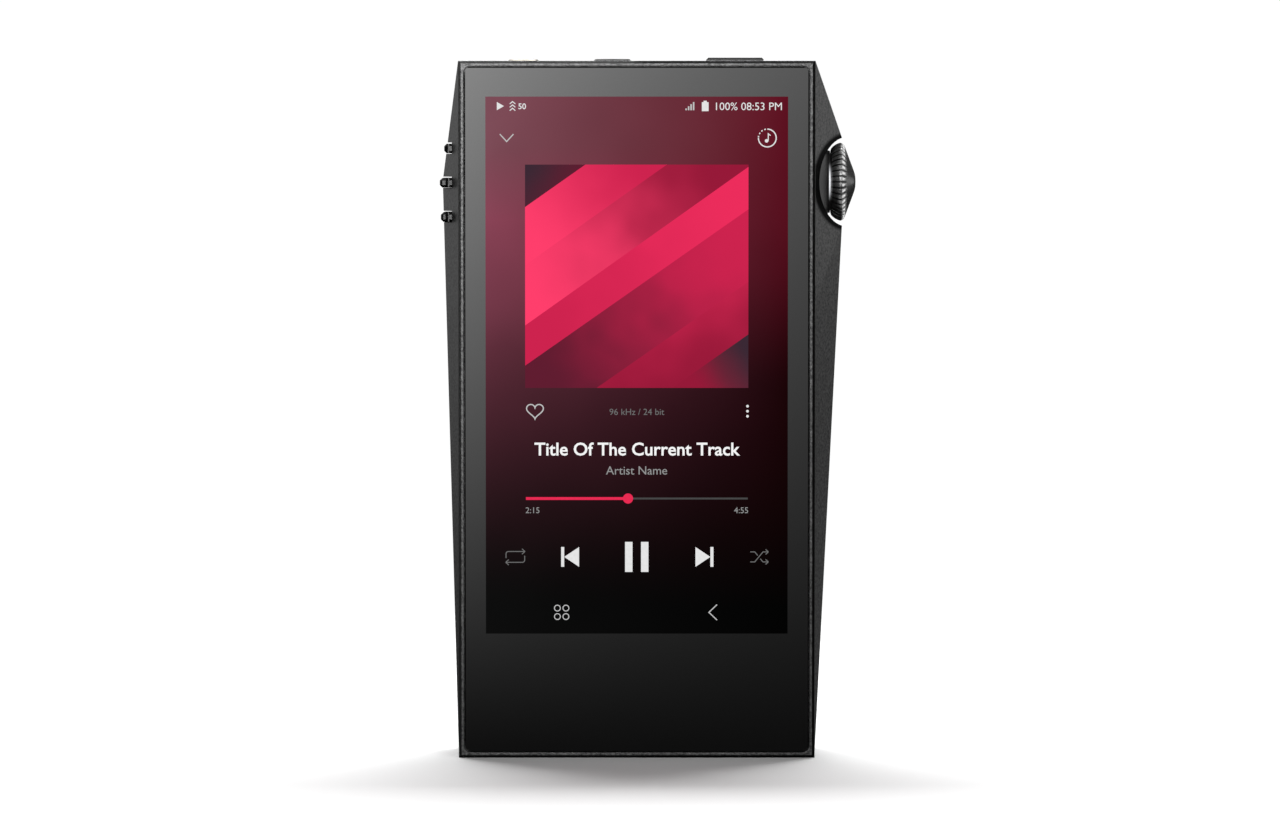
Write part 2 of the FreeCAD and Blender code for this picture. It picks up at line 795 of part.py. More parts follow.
def add_wheel():
    nodes["volume_wheel"] = volume_wheel()
    nodes["wheel_shaft"] = wheel_shaft()
    nodes["shaft_clip"] = shaft_clip()
    magnet_x = shaft_start_x - magnet_thickness
    nodes["encoder_magnet"] = rod(magnet_radius, (magnet_x, 0, wheel_z), (shaft_start_x, 0, wheel_z))
    nodes["wheel_bushing"] = wheel_bushing()
    nodes["bushing_nut"] = bushing_nut()
    nodes["wheel_pedestal"] = wheel_pedestal()
    nodes["light_ring"] = light_ring()
    nodes["wheel_led_board"] = wheel_led_board()
    nodes["thrust_washer"] = thrust_washer()
    board_x = encoder_board_back_x()
    half_chip = sensor_size / 2
    half_z = encoder_board_height / 2 - encoder_board_gap
    nodes["encoder_sensor"] = block(board_x, board_x + sensor_thickness, -half_chip, half_chip,
                                    wheel_z - half_chip, wheel_z + half_chip)
    nodes["encoder_board"] = block(board_x - board_thickness, board_x, encoder_front, encoder_back,
                                   wheel_z - half_z, wheel_z + half_z)
    nodes["encoder_bracket"] = encoder_bracket()


# ---------------------------------------------------------------- keys
def key_ridge_x(z):
    """How far the left flank's ridge stands out at a height."""
    if z > key_ridge_z:
        share = (case_height - z) / (case_height - key_ridge_z)
    else:
        share = z / key_ridge_z
    return -half_width - share * (key_ridge_reach - half_width)


def side_key_bar(low_x, high_x, z):
    """A side key's bar: bevelled all round its outer side, at low_x, with a notch across both ends."""
    half_y = side_key_half_length
    half_z = side_key_height / 2
    bar = block(low_x, high_x, -half_y, half_y, z - half_z, z + half_z)
    corners = edges_at(bar, "x", low_x) + edges_at(bar, "x", (low_x + high_x) / 2)
    bar = bar.makeChamfer(side_key_bevel, corners)
    floor_y = half_y - key_notch_depth
    notches = [block(key_notch_x, key_notch_x + key_notch_width, *sorted((side * floor_y, side * half_y)),
                     z - half_z, z + half_z) for side in (-1, 1)]
    return bar.cut(notches)


def side_key(z):
    """One side key: a bar through the case wall and the flange that keeps it in."""
    flange_x = side_pocket_x + key_clearance
    inner_x = flange_x + key_flange_thickness
    bar = side_key_bar(key_ridge_x(z) - key_proud, inner_x, z)
    reach_y = side_key_half_length + key_flange / 2
    reach_z = side_key_height / 2 + key_flange
    flange = block(flange_x, inner_x, -reach_y, reach_y, z - reach_z, z + reach_z)
    return joined(bar, flange)


def side_switch(z):
    """The push switch behind one side key."""
    board_x = -board_bay_half_width() - switch_board_thickness
    body_x = board_x - switch_body
    key_back = side_pocket_x + key_clearance + key_flange_thickness
    body = block(body_x, board_x, -switch_width / 2, switch_width / 2,
                 z - switch_height / 2, z + switch_height / 2)
    plunger = rod(plunger_radius, (key_back + key_travel + plunger_gap, 0, z), (body_x, 0, z))
    return joined(body, plunger)


def side_switch_bracket():
    """The plate that holds the side keys' board in its pocket."""
    wall_x = -board_bay_half_width()
    low_z, high_z = side_bracket_screw_heights()
    plate = block(wall_x, wall_x + bracket_thickness,
                  deck_back + side_bracket_inset, audio_board_front - side_bracket_inset,
                  low_z - side_bracket_end, high_z + side_bracket_end)
    plate_back = wall_x + bracket_thickness + overcut
    holes = [rod(screw_pass, (wall_x - overcut, 0, z), (plate_back, 0, z)) for z in (low_z, high_z)]
    return plate.cut(holes)


def power_button():
    """The power key: a bar through the top wall and the flange that keeps it in."""
    half_x = power_key_width / 2
    half_y = power_key_depth / 2
    top = case_height + power_key_proud
    flange_top = power_pocket_z - key_clearance
    flange_bottom = flange_top - key_flange_thickness
    bar = block(power_key_x - half_x, power_key_x + half_x, -half_y, half_y, flange_bottom, top)
    bar = bar.makeChamfer(power_key_bevel, edges_at(bar, "z", top))
    reach_x = half_x + key_flange
    reach_y = half_y + key_flange
    flange = block(power_key_x - reach_x, power_key_x + reach_x, -reach_y, reach_y,
                   flange_bottom, flange_top)
    return joined(bar, flange)


def power_switch():
    board_top = board_bay_top() + switch_board_thickness
    body_top = board_top + switch_body / 2
    key_bottom = power_pocket_z - key_clearance - key_flange_thickness
    body = block(power_key_x - switch_width / 2, power_key_x + switch_width / 2,
                 -switch_height / 2, switch_height / 2, board_top, body_top)
    tip = key_bottom - key_travel - plunger_gap
    return joined(body, rod(plunger_radius, (power_key_x, 0, board_top), (power_key_x, 0, tip)))


def power_switch_bracket():
    """The plate that holds the power key's board in its pocket."""
    top = board_bay_top()
    left, right = power_bracket_screw_places()
    plate = block(left - power_bracket_end, right + power_bracket_end,
                  -power_pocket_half_depth + side_bracket_inset, power_pocket_half_depth,
                  top - bracket_thickness, top)
    plate = plate.common(opening_plate(board_bay_inset, -half_depth, half_depth))
    plate_bottom = top - bracket_thickness - overcut
    holes = [rod(screw_pass, (x, 0, plate_bottom), (x, 0, top + overcut)) for x in (left, right)]
    return plate.cut(holes)


def add_keys():
    for name, z in zip(side_key_names, side_key_heights):
        nodes[name] = side_key(z)
    nodes["side_switches"] = grouped(side_switch(z) for z in side_key_heights)
    wall_x = -board_bay_half_width()
    nodes["side_switch_board"] = block(
        wall_x - switch_board_thickness, wall_x, deck_back + side_bracket_inset,
        audio_board_front - side_bracket_inset, side_pocket_bottom + switch_board_gap,
        side_pocket_top - switch_board_gap)
    nodes["side_switch_bracket"] = side_switch_bracket()
    nodes["power_button"] = power_button()
    nodes["power_switch"] = power_switch()
    top = board_bay_top()
    half_x = power_pocket_half_width - switch_board_gap
    half_y = power_pocket_half_depth - switch_board_gap
    nodes["power_switch_board"] = block(power_key_x - half_x, power_key_x + half_x, -half_y, half_y,
                                        top, top + switch_board_thickness)
    nodes["power_switch_bracket"] = power_switch_bracket()


# ---------------------------------------------------------------- jacks and ports
def jack_socket(x, bore_radius, nozzle_radius, width, bottom, bore_length):
    """A headphone socket: a block with a round nozzle up to the top face and one straight bore."""
    body = block(x - width / 2, x + width / 2, jack_y - jack_body_half_depth, audio_board_front,
                 bottom, jack_body_top)
    nozzle = rod(nozzle_radius, (x, jack_y, jack_body_top), (x, jack_y, jack_nozzle_top))
    bore_end = jack_nozzle_top - bore_length
    bore = rod(bore_radius, (x, jack_y, bore_end), (x, jack_y, jack_nozzle_top + overcut))
    return joined(body, nozzle).cut([bore] + contact_strips(x, width, jack_fit, bottom))


def contact_strips(x, width, slack, bottom):
    """The contact strips let into both sides of a socket, made larger all round by the slack."""
    low_z = bottom + contact_lift
    strips = []
    for side in (-1, 1):
        faces = sorted((x + side * width / 2, x + side * (width / 2 - contact_thickness - slack)))
        strips.append(block(*faces, jack_y - contact_width / 2 - slack, jack_y + contact_width / 2 + slack,
                            low_z - slack, low_z + contact_length + slack))
    return strips


def jack_collar(x, nozzle_radius, collar_radius, proud):
    """The metal trim ring around a jack's mouth, with a bevelled outer edge."""
    bottom = (x, jack_y, case_height - collar_depth)
    top_z = case_height + proud
    ring = rod(collar_radius, bottom, (x, jack_y, top_z))
    ring = ring.makeChamfer(proud * collar_bevel_share, edges_at(ring, "z", top_z))
    hole_start = (x, jack_y, case_height - collar_depth - overcut)
    hole = rod(nozzle_radius + jack_fit, hole_start, (x, jack_y, top_z + overcut))
    return ring.cut(hole)


def usb_receptacle():
    """The charging port: a flat round-ended shell with its tongue, closed at the back."""
    shell = stadium(0, usb_y, usb_width / 2, usb_height / 2, usb_bottom, usb_top)
    inside = stadium(0, usb_y, usb_width / 2 - usb_wall, usb_height / 2 - usb_wall,
                     usb_bottom - overcut, usb_top - usb_wall)
    half_x = usb_tongue_width / 2
    half_y = usb_tongue_thickness / 2
    tongue = block(-half_x, half_x, usb_y - half_y, usb_y + half_y,
                   usb_top - usb_tongue_length, usb_top - usb_wall / 2)
    return joined(shell.cut(inside), tongue)


def card_socket():
    """The memory card socket: a flat metal box with a slot for the card."""
    back_y = port_board_front
    front_y = back_y - card_thickness
    middle_y = (front_y + back_y) / 2
    half_card = card_slot_width / 2
    box = block(card_x - card_width / 2, card_x + card_width / 2, front_y, back_y,
                card_socket_bottom, card_socket_top)
    slot = block(card_x - half_card, card_x + half_card,
                 middle_y - card_slot_thickness / 2, middle_y + card_slot_thickness / 2,
                 card_socket_bottom - overcut, card_socket_top - card_stop)
    return box.cut(slot)


def drilled(board, front_y, places):
    """A board with a screw hole right through it at each place."""
    start = front_y - overcut
    end = front_y + board_thickness + overcut
    return board.cut([rod(screw_pass, (x, start, z), (x, end, z)) for x, z in places])


def port_board():
    plate = block(port_board_left, port_board_right, port_board_front, port_board_front + board_thickness,
                  port_board_bottom, port_board_top)
    return drilled(plate, port_board_front, [(x, port_pillar_z) for x in port_pillar_x])


def add_jacks_and_ports():
    small = (small_jack_x, small_bore_radius, small_nozzle_radius, small_jack_width,
             small_jack_bottom, small_bore_length)
    large = (large_jack_x, large_bore_radius, large_nozzle_radius, large_jack_width,
             large_jack_bottom, large_bore_length)
    nodes["jack_socket_small"] = jack_socket(*small)
    nodes["jack_socket_large"] = jack_socket(*large)
    strips = contact_strips(small_jack_x, small_jack_width, 0, small_jack_bottom)
    strips += contact_strips(large_jack_x, large_jack_width, 0, large_jack_bottom)
    nodes["jack_contacts"] = grouped(strips)
    nodes["jack_collar_small"] = jack_collar(small_jack_x, small_nozzle_radius, small_collar_radius,
                                             small_collar_proud)
    nodes["jack_collar_large"] = jack_collar(large_jack_x, large_nozzle_radius, large_collar_radius,
                                             large_collar_proud)
    nodes["usb_receptacle"] = usb_receptacle()
    nodes["card_socket"] = card_socket()
    nodes["port_board"] = port_board()


# ---------------------------------------------------------------- boards and battery
def main_board():
    plate = block(main_board_left, main_board_right, main_board_front, main_board_back,
                  board_bottom, main_board_top)
    return drilled(plate, main_board_front, main_spacer_places)


def audio_pillar_places():
    return [(side * pillar_x, z) for side in (-1, 1) for z in audio_pillar_heights]


def audio_board():
    plate = block(-audio_board_half_width, audio_board_half_width, audio_board_front,
                  audio_board_front + board_thickness, board_bottom, audio_board_top)
    return drilled(plate, audio_board_front, audio_pillar_places())


def link_flex():
    """The ribbon between the two boards, folded flat at each end."""
    ends = (main_board_back, audio_board_front)
    run = block(*link_flex_span, *ends, link_flex_z, link_flex_z + flex_thickness)
    tabs = [block(*link_flex_span, low_y, low_y + flex_thickness, link_flex_z, link_flex_z + link_flex_tab)
            for low_y in (main_board_back, audio_board_front - flex_thickness)]
    return joined(run, *tabs)


def board_connector(x, width):
    """One ribbon connector on the front of the audio board's lower edge."""
    low_z = board_bottom + connector_lift
    return block(x - width / 2, x + width / 2, audio_board_front - connector_depth, audio_board_front,
                 low_z, low_z + connector_height)


def ribbon(x, width, low_z):
    """A ribbon up the back of the battery to a connector."""
    return block(x - width / 2, x + width / 2, battery_back, battery_back + flex_thickness,
                 low_z, board_bottom + connector_lift)


def port_flex():
    """The ribbon from the port board up the battery's back."""
    rise = ribbon(port_flex_x, port_flex_width, port_board_top)
    half_x = port_flex_width / 2
    tab = block(port_flex_x - half_x, port_flex_x + half_x, port_board_front + board_thickness,
                battery_back + flex_thickness, port_board_top, port_board_top + flex_thickness)
    return joined(rise, tab)


def add_boards():
    nodes["main_board"] = main_board()
    left, right, low_z, high_z = processor_can
    nodes["thermal_pad"] = block(left + thermal_pad_inset, right - thermal_pad_inset, deck_back,
                                 main_board_front, low_z + thermal_pad_inset, high_z - thermal_pad_inset)
    nodes["processor_shield"] = can(processor_can, main_board_back, main_board_back + processor_can_depth)
    nodes["wireless_shield"] = can(wireless_can, main_board_back, main_board_back + wireless_can_depth)
    nodes["audio_board"] = audio_board()
    nodes["dac_shield"] = can(dac_can, audio_board_front, audio_board_front - audio_can_depth)
    nodes["amplifier_shield"] = can(amplifier_can, audio_board_front, audio_board_front - audio_can_depth)
    nodes["audio_capacitors"] = grouped(
        rod(capacitor_radius, (x, audio_board_front - capacitor_length, z), (x, audio_board_front, z))
        for x, z in capacitor_places)
    nodes["link_flex"] = link_flex()
    nodes["board_connectors"] = grouped([board_connector(battery_lead_x, battery_connector_width),
                                         board_connector(port_flex_x, port_connector_width)])
    nodes["battery"] = block(-battery_half_width, battery_half_width, deck_back + battery_gap,
                             battery_back, battery_bottom, battery_top)
    nodes["battery_lead"] = ribbon(battery_lead_x, battery_lead_width, battery_top - battery_lead_overlap)
    nodes["port_flex"] = port_flex()


# ---------------------------------------------------------------- fasteners
def add_fasteners():
    nodes["mid_frame_screws"] = grouped(
        screw((x, deck_front + screw_head_height, z), (0, 1, 0), deck_screw_length)
        for x, z in deck_screw_places())
    nodes["board_spacers"] = grouped(
        tube(pillar_radius, screw_pass, (x, deck_back, z), (x, main_board_front, z))
        for x, z in main_spacer_places)
    pillars = [(x, z, audio_board_front) for x, z in audio_pillar_places()]
    pillars += [(x, port_pillar_z, port_board_front) for x in port_pillar_x]
    nodes["board_pillars"] = grouped(
        tube(pillar_radius, screw_hole, (x, deck_back, z), (x, top_y, z)) for x, z, top_y in pillars)
    seats = [(x, top_y + board_thickness, z) for x, z, top_y in pillars]
    seats += [(x, main_board_back, z) for x, z in main_spacer_places]
    nodes["board_screws"] = grouped(screw(seat, (0, -1, 0), board_screw_length) for seat in seats)
    wall = board_bay_half_width() - bracket_thickness
    seat_z = board_bay_top() - bracket_thickness
    places = [((-wall, 0, z), (-1, 0, 0)) for z in side_bracket_screw_heights()]
    places += [((wall, 0, z), (1, 0, 0)) for z in encoder_foot_heights()]
    places += [((x, 0, seat_z), (0, 0, 1)) for x in power_bracket_screw_places()]
    nodes["bracket_screws"] = grouped(screw(seat, into, bracket_screw_length) for seat, into in places)


add_covers()
add_display()
add_wheel()
add_keys()
add_jacks_and_ports()
add_boards()
add_fasteners()

os.makedirs("parts", exist_ok=True)
for name, shape in nodes.items():
    shape.exportStep("parts/" + name + ".step")
print(len(nodes), "nodes")
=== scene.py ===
import math

import bpy
from mathutils import Matrix, Vector


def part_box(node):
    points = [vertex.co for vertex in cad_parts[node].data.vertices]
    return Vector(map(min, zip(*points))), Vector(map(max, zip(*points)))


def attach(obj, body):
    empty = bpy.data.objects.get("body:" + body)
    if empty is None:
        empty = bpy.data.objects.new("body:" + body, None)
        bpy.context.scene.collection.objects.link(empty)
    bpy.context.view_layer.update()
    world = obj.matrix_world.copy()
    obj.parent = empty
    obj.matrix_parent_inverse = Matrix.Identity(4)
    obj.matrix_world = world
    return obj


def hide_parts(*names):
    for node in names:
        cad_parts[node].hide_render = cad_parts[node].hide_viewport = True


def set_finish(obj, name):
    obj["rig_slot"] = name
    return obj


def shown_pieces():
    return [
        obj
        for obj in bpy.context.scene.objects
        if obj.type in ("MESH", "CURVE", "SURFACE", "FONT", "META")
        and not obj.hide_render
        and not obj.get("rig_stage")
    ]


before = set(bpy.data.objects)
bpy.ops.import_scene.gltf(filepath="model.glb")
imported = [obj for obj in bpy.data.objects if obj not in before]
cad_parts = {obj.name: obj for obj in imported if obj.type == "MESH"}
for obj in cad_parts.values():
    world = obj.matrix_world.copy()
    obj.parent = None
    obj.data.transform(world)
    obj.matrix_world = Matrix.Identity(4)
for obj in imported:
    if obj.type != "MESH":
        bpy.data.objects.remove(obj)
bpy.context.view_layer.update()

MM = 0.001

# ---------------------------------------------------------------- places taken from the CAD nodes
glass_low, glass_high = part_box("front_glass")
crown_low, crown_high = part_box("volume_wheel")
glass_front = glass_low.y
wheel_z = (crown_low.z + crown_high.z) / 2

# ---------------------------------------------------------------- camera
camera_distance = 1.0
camera_x = 0.55 * MM
camera_height = 105.0 * MM
aim_height = 57.35 * MM
camera_sensor = 36.0
view_width = 216.2 * MM

# ---------------------------------------------------------------- display
# how far its plates stand before the glass, in metres, and the layers they lie in
screen_lift = 0.012 * MM
layer_step = 0.006 * MM
plate_sink = 0.004 * MM
background_layer, picture_layer, fold_layer = 0, 1, 1.5
line_layer, played_layer, mark_layer, note_layer = 2, 2.4, 3, 3.2

# its layout, in millimetres: distances from the middle of the case, and heights above the table
screen_half_width = 25.54
screen_bottom = 21.13
screen_top = 111.96
status_row = 110.36
menu_row = 104.98
cover_middle = 81.64
cover_half = 18.86
detail_row = 58.77
title_row = 52.5
artist_row = 48.87
progress_row = 44.05
time_row = 42.1
control_row = 34.15
bottom_row = 24.74
margin_left = -18.75
margin_right = 18.78
played_to = -1.48

# ---------------------------------------------------------------- volume wheel
crown_teeth = 40
tooth_pitch = math.tau / crown_teeth
crown_back_x = crown_high.x - 4.24 * MM
groove_share = 0.2
groove_depth = 0.34 * MM
ridge_sag = -0.06
ridge_length = 1.78 * MM
crest_offset, crest_radius = 2.28 * MM, 6.32 * MM
valley_offset, valley_radius = 2.62 * MM, 5.46 * MM
cone_offset = 2.6 * MM
crease_angle = 24

# ---------------------------------------------------------------- case and keys
# where the painted shadow round the wheel pocket lies: its inner and outer distance from the wheel's axis,
# and how much it is squashed up and down
painted_shadow_inner = 8.8 * MM
painted_shadow_outer = 9.7 * MM
painted_shadow_squash = 1.1
flank_x = 30.1 * MM
# where each key's end notch is, and half its width; a painted shadow darkens it
key_notch_x = -32.17 * MM
key_notch_half = 0.21 * MM
glass_rim = 0.18 * MM

# ---------------------------------------------------------------- light
sky_levels = [(0.0, 0.03), (0.49, 0.04), (0.62, 0.2), (0.8, 0.7), (1.0, 0.9)]
mirrored_sky = 0.42
diffuse_sky = 0.25
page_white = 1.02
floor_reach = 0.4


# ================================================================ colour and node helpers
def linear(value):
    """One screen value from 0 to 255 as linear light."""
    share = value / 255
    if share <= 0.04045:
        return share / 12.92
    return ((share + 0.055) / 1.055) ** 2.4


def colour(red, green, blue):
    """A colour given as screen values, with full alpha."""
    return (linear(red), linear(green), linear(blue), 1.0)


def grey(value):
    return colour(value, value, value)


def scaled(shade, factor, lift=0.0):
    """A colour made darker or paler, and held at white."""
    return [min(channel * factor + lift, 1.0) for channel in shade[:3]] + [1.0]


class Nodes:
    """A node tree, with short ways to add the nodes that the finishes share."""

    def __init__(self, tree):
        self.tree = tree

    def add(self, kind, inputs=None, **properties):
        """A new node. inputs are numbers, colours or outputs, by socket name or number."""
        made = self.tree.nodes.new(kind)
        for key, value in properties.items():
            setattr(made, key, value)
        for key, value in (inputs or {}).items():
            if isinstance(value, bpy.types.NodeSocket):
                self.tree.links.new(value, made.inputs[key])
            else:
                made.inputs[key].default_value = value
        return made

    def math(self, operation, first, second=0.0):
        return self.add("ShaderNodeMath", {0: first, 1: second}, operation=operation).outputs[0]

    def remap(self, value, low, high, new_low=0.0, new_high=1.0, smooth=False):
        """value taken from the range low..high to new_low..new_high, and held inside it."""
        inputs = {"Value": value, "From Min": low, "From Max": high, "To Min": new_low, "To Max": new_high}
        kind = "SMOOTHSTEP" if smooth else "LINEAR"
        return self.add("ShaderNodeMapRange", inputs, interpolation_type=kind).outputs["Result"]

    def between(self, share, first, second):
        """A number that runs from first to second as share runs from 0 to 1."""
        return self.remap(share, 0.0, 1.0, first, second)

    def distance(self, value, place):
        """How far value is from place, either way."""
        return self.math("ABSOLUTE", self.math("SUBTRACT", value, place))

    def mix(self, share, first, second):
        """A colour that runs from first to second as share runs from 0 to 1."""
        return self.add("ShaderNodeMix", {0: share, 6: first, 7: second}, data_type="RGBA").outputs[2]

    def ramp(self, value, stops):
        """A colour ramp with (position, colour) stops."""
        made = self.add("ShaderNodeValToRGB", {0: value})
        elements = made.color_ramp.elements
        elements[0].position, elements[0].color = stops[0]
        elements[-1].position, elements[-1].color = stops[-1]
        for position, shade in stops[1:-1]:
            elements.new(position).color = shade
        return made.outputs["Color"]


class Finish(Nodes):
    """A material while it is being made: its node tree and its one Principled shader."""

    def __init__(self, name, **settings):
        self.material = bpy.data.materials.new(name)
        self.material.use_nodes = True
        super().__init__(self.material.node_tree)
        self.shader = self.tree.nodes["Principled BSDF"]
        self.place = self.add("ShaderNodeTexCoord").outputs["Object"]
        for socket, value in settings.items():
            self.set(socket.replace("_", " "), value)

    def set(self, socket, value):
        """Gives a shader socket a number or colour, or links it to another node's output."""
        if isinstance(value, bpy.types.NodeSocket):
            self.tree.links.new(value, self.shader.inputs[socket])
        else:
            self.shader.inputs[socket].default_value = value

    def source(self, socket):
        """The output that feeds a shader socket."""
        return self.shader.inputs[socket].links[0].from_socket

    def axis(self, letter):
        """The object's X, Y or Z at the shaded point."""
        return self.add("ShaderNodeSeparateXYZ", {0: self.place}).outputs[letter]

    def facing(self, letter):
        """How squarely the face looks along an axis, either way, from 0 to 1."""
        true_normal = self.add("ShaderNodeNewGeometry").outputs["True Normal"]
        return self.math("ABSOLUTE", self.add("ShaderNodeSeparateXYZ", {0: true_normal}).outputs[letter])

    def stretched(self, factors):
        """The object's coordinates, each times its own factor."""
        return self.add("ShaderNodeVectorMath", {0: self.place, 1: factors}, operation="MULTIPLY").outputs[0]

    def noise(self, size, detail=2.0, place=None):
        """Noise between 0 and 1, with blotches of about that size."""
        inputs = {"Vector": place or self.place, "Scale": 1 / size, "Detail": detail}
        return self.add("ShaderNodeTexNoise", inputs).outputs["Fac"]

    def rounded(self, radius):
        """The normal with sharp edges rounded to that radius."""
        return self.add("ShaderNodeBevel", {"Radius": radius}, samples=6).outputs[0]

    def edges(self, normal):
        """A mask of the edges that a rounded normal rounds."""
        flat = self.add("ShaderNodeNewGeometry").outputs["True Normal"]
        dot = self.add("ShaderNodeVectorMath", {0: normal, 1: flat}, operation="DOT_PRODUCT")
        return self.remap(dot.outputs["Value"], 0.995, 0.86)

    def bump(self, height, depth, normal=None):
        """Sets the shader's normal from a height between 0 and 1 that stands for depth metres."""
        inputs = {"Height": height, "Distance": depth, "Strength": 1.0}
        if normal:
            inputs["Normal"] = normal
        self.set("Normal", self.add("ShaderNodeBump", inputs).outputs[0])

    def glow(self, shade):
        """Light of that colour, as it is to look."""
        self.set("Emission Color", shade)
        self.set("Emission Strength", 1.0)


# ================================================================ finishes
def anodised(
    name, shade, roughness, metallic=0.75, grain=0.42 * MM, edge=0.12 * MM, depth=0.03 * MM, wear=1.6
):
    """Bead-blasted, anodised aluminium: a fine speckle, slow blotches, and paler worn edges."""
    finish = Finish(name, Metallic=metallic)
    speckle = finish.noise(grain, 3.0)
    blotch = finish.noise(9 * MM, 2.0)
    normal = finish.rounded(edge)
    scratches = finish.remap(finish.noise(0.5 * MM, 4.0), 0.45, 0.6)
    body = finish.mix(finish.remap(speckle, 0.33, 0.67), scaled(shade, 0.35), scaled(shade, 1.8))
    body = finish.mix(finish.remap(blotch, 0.4, 0.75, 0.0, 0.25), body, shade)
    worn = finish.math("MULTIPLY", finish.edges(normal), scratches)
    finish.set("Base Color", finish.mix(worn, body, scaled(shade, wear)))
    finish.set("Roughness", finish.remap(speckle, 0.3, 0.7, roughness - 0.06, roughness + 0.08))
    finish.bump(speckle, depth, normal)
    return finish


def case_metal():
    """The case's anodising, with a painted shadow that makes it black round the wheel pocket, and painted
    light and shade on its slanting rim (paler at the left, darker at the right), which is also smoother.
    """
    metallic = 0.75
    finish = anodised("case_anodised", grey(79), 0.38, metallic)
    across, along = finish.axis("X"), finish.axis("Y")
    high = finish.math("MULTIPLY", finish.math("SUBTRACT", finish.axis("Z"), wheel_z), painted_shadow_squash)
    squares = finish.math("ADD", finish.math("POWER", high, 2.0), finish.math("POWER", along, 2.0))
    # painted shadow: the case's side turns black, unmetallic and hardly shiny within about 9 mm of the
    # wheel's axis
    near = finish.remap(finish.math("SQRT", squares), painted_shadow_inner, painted_shadow_outer, 1.0, 0.0, smooth=True)
    painted_shadow = finish.math("MULTIPLY", near, finish.remap(across, flank_x, flank_x + 0.15 * MM))
    slant = finish.distance(finish.facing("Y"), math.sqrt(0.5))
    rim = finish.remap(slant, 0.02, 0.05, 1.0, 0.0)
    # painted light and shade on the slanting rim: paler (grey 98) on the left half, darker (grey 46) on the
    # right half
    painted_rim_shading = finish.mix(finish.remap(across, -1 * MM, 1 * MM), grey(98), grey(46))
    body = finish.mix(finish.math("MULTIPLY", painted_shadow, 0.97), finish.source("Base Color"), grey(2))
    smoother = finish.math("SUBTRACT", finish.source("Roughness"), finish.math("MULTIPLY", rim, 0.2))
    finish.set("Base Color", finish.mix(rim, body, painted_rim_shading))
    finish.set("Metallic", finish.between(painted_shadow, metallic, 0.0))
    finish.set("Specular IOR Level", finish.between(painted_shadow, 0.5, 0.02))
    finish.set("Roughness", smoother)
    return finish.material


def key_metal():
    """Black keys: satin flats, painted shade that makes the slanting edge faces black, and a painted shadow
    that darkens the notch in each end.
    """
    finish = Finish("key_anodised", Metallic=0.6)
    speckle = finish.noise(0.12 * MM, 3.0)
    widest = finish.math("MAXIMUM", finish.facing("X"), finish.facing("Y"))
    flat = finish.remap(finish.math("MAXIMUM", widest, finish.facing("Z")), 0.8, 0.98)
    satin = finish.mix(finish.remap(speckle, 0.33, 0.67), grey(44), grey(74))
    from_notch = finish.distance(finish.axis("X"), key_notch_x)
    painted_notch_shadow = finish.remap(from_notch, key_notch_half, key_notch_half + 0.02 * MM, 1.0, 0.0)
    # painted shade: slanting faces near black (grey 3) beside the satin flats; painted shadow: the end notch
    # near black (grey 1) and hardly shiny
    finish.set("Base Color", finish.mix(painted_notch_shadow, finish.mix(flat, grey(3), satin), grey(1)))
    finish.set("Specular IOR Level", finish.between(painted_notch_shadow, 0.5, 0.05))
    finish.set("Roughness", finish.remap(speckle, 0.3, 0.7, 0.3, 0.42))
    finish.bump(speckle, 0.004 * MM, finish.rounded(0.05 * MM))
    return finish.material


def wheel_metal():
    """Black anodised crown: painted shade that makes the grooves black, a painted highlight that makes the
    studs pale, and turning lines on the cone.
    """
    finish = anodised("wheel_anodised", grey(104), 0.34, 0.5, 0.1 * MM, 0.05 * MM, 0.003 * MM)
    across = finish.axis("X")
    angle = finish.math("ARCTAN2", finish.axis("Y"), finish.math("SUBTRACT", finish.axis("Z"), wheel_z))
    turn = finish.add("ShaderNodeCombineXYZ", {0: angle, 1: finish.math("MULTIPLY", across, 60.0)}).outputs[0]
    streak = finish.add("ShaderNodeTexNoise", {"Vector": turn, "Scale": 30.0, "Detail": 3.0}).outputs["Fac"]
    from_groove = finish.math("PINGPONG", angle, tooth_pitch / 2)

    def passed(offset, fade):
        return finish.remap(across, crown_back_x + offset, crown_back_x + offset + fade)

    # painted shade: the grooves near black (grey 1); painted highlight: the middle of each stud pale (grey
    # 205)
    groove = finish.remap(from_groove, 0.1 * tooth_pitch, 0.17 * tooth_pitch, 1.0, 0.0)
    tooth_middle = finish.remap(from_groove, 0.24 * tooth_pitch, 0.3 * tooth_pitch)
    stud_length = finish.math("SUBTRACT", passed(ridge_length, 0.06 * MM), passed(crest_offset, 0.08 * MM))
    painted_stud_highlight = finish.math("MULTIPLY", stud_length, tooth_middle)
    cone = passed(cone_offset, 0.1 * MM)
    shade = finish.mix(groove, finish.mix(painted_stud_highlight, finish.source("Base Color"), grey(205)), grey(1))
    lines = finish.mix(finish.remap(streak, 0.35, 0.7), grey(62), grey(96))
    finish.set("Base Color", finish.mix(cone, shade, lines))
    finish.set("Roughness", finish.between(cone, 0.32, 0.2))
    return finish.material


def brushed(name, shade, roughness, factors, size=0.4 * MM, metallic=1.0, depth=0.004 * MM):
    """Metal with machining lines: noise that is stretched along the line direction."""
    finish = Finish(name, Metallic=metallic)
    lines = finish.noise(size, 4.0, finish.stretched(factors))
    cloud = finish.noise(6 * MM)
    normal = finish.rounded(0.08 * MM)
    dark = scaled(shade, 0.8)
    body = finish.mix(finish.remap(lines, 0.3, 0.7), dark, shade)
    body = finish.mix(finish.remap(cloud, 0.4, 0.8, 0.0, 0.3), body, dark)
    finish.set("Base Color", finish.mix(finish.edges(normal), body, scaled(shade, 1.4)))
    finish.set("Roughness", finish.remap(lines, 0.3, 0.7, roughness - 0.05, roughness + 0.08))
    finish.bump(lines, depth, normal)
    return finish.material


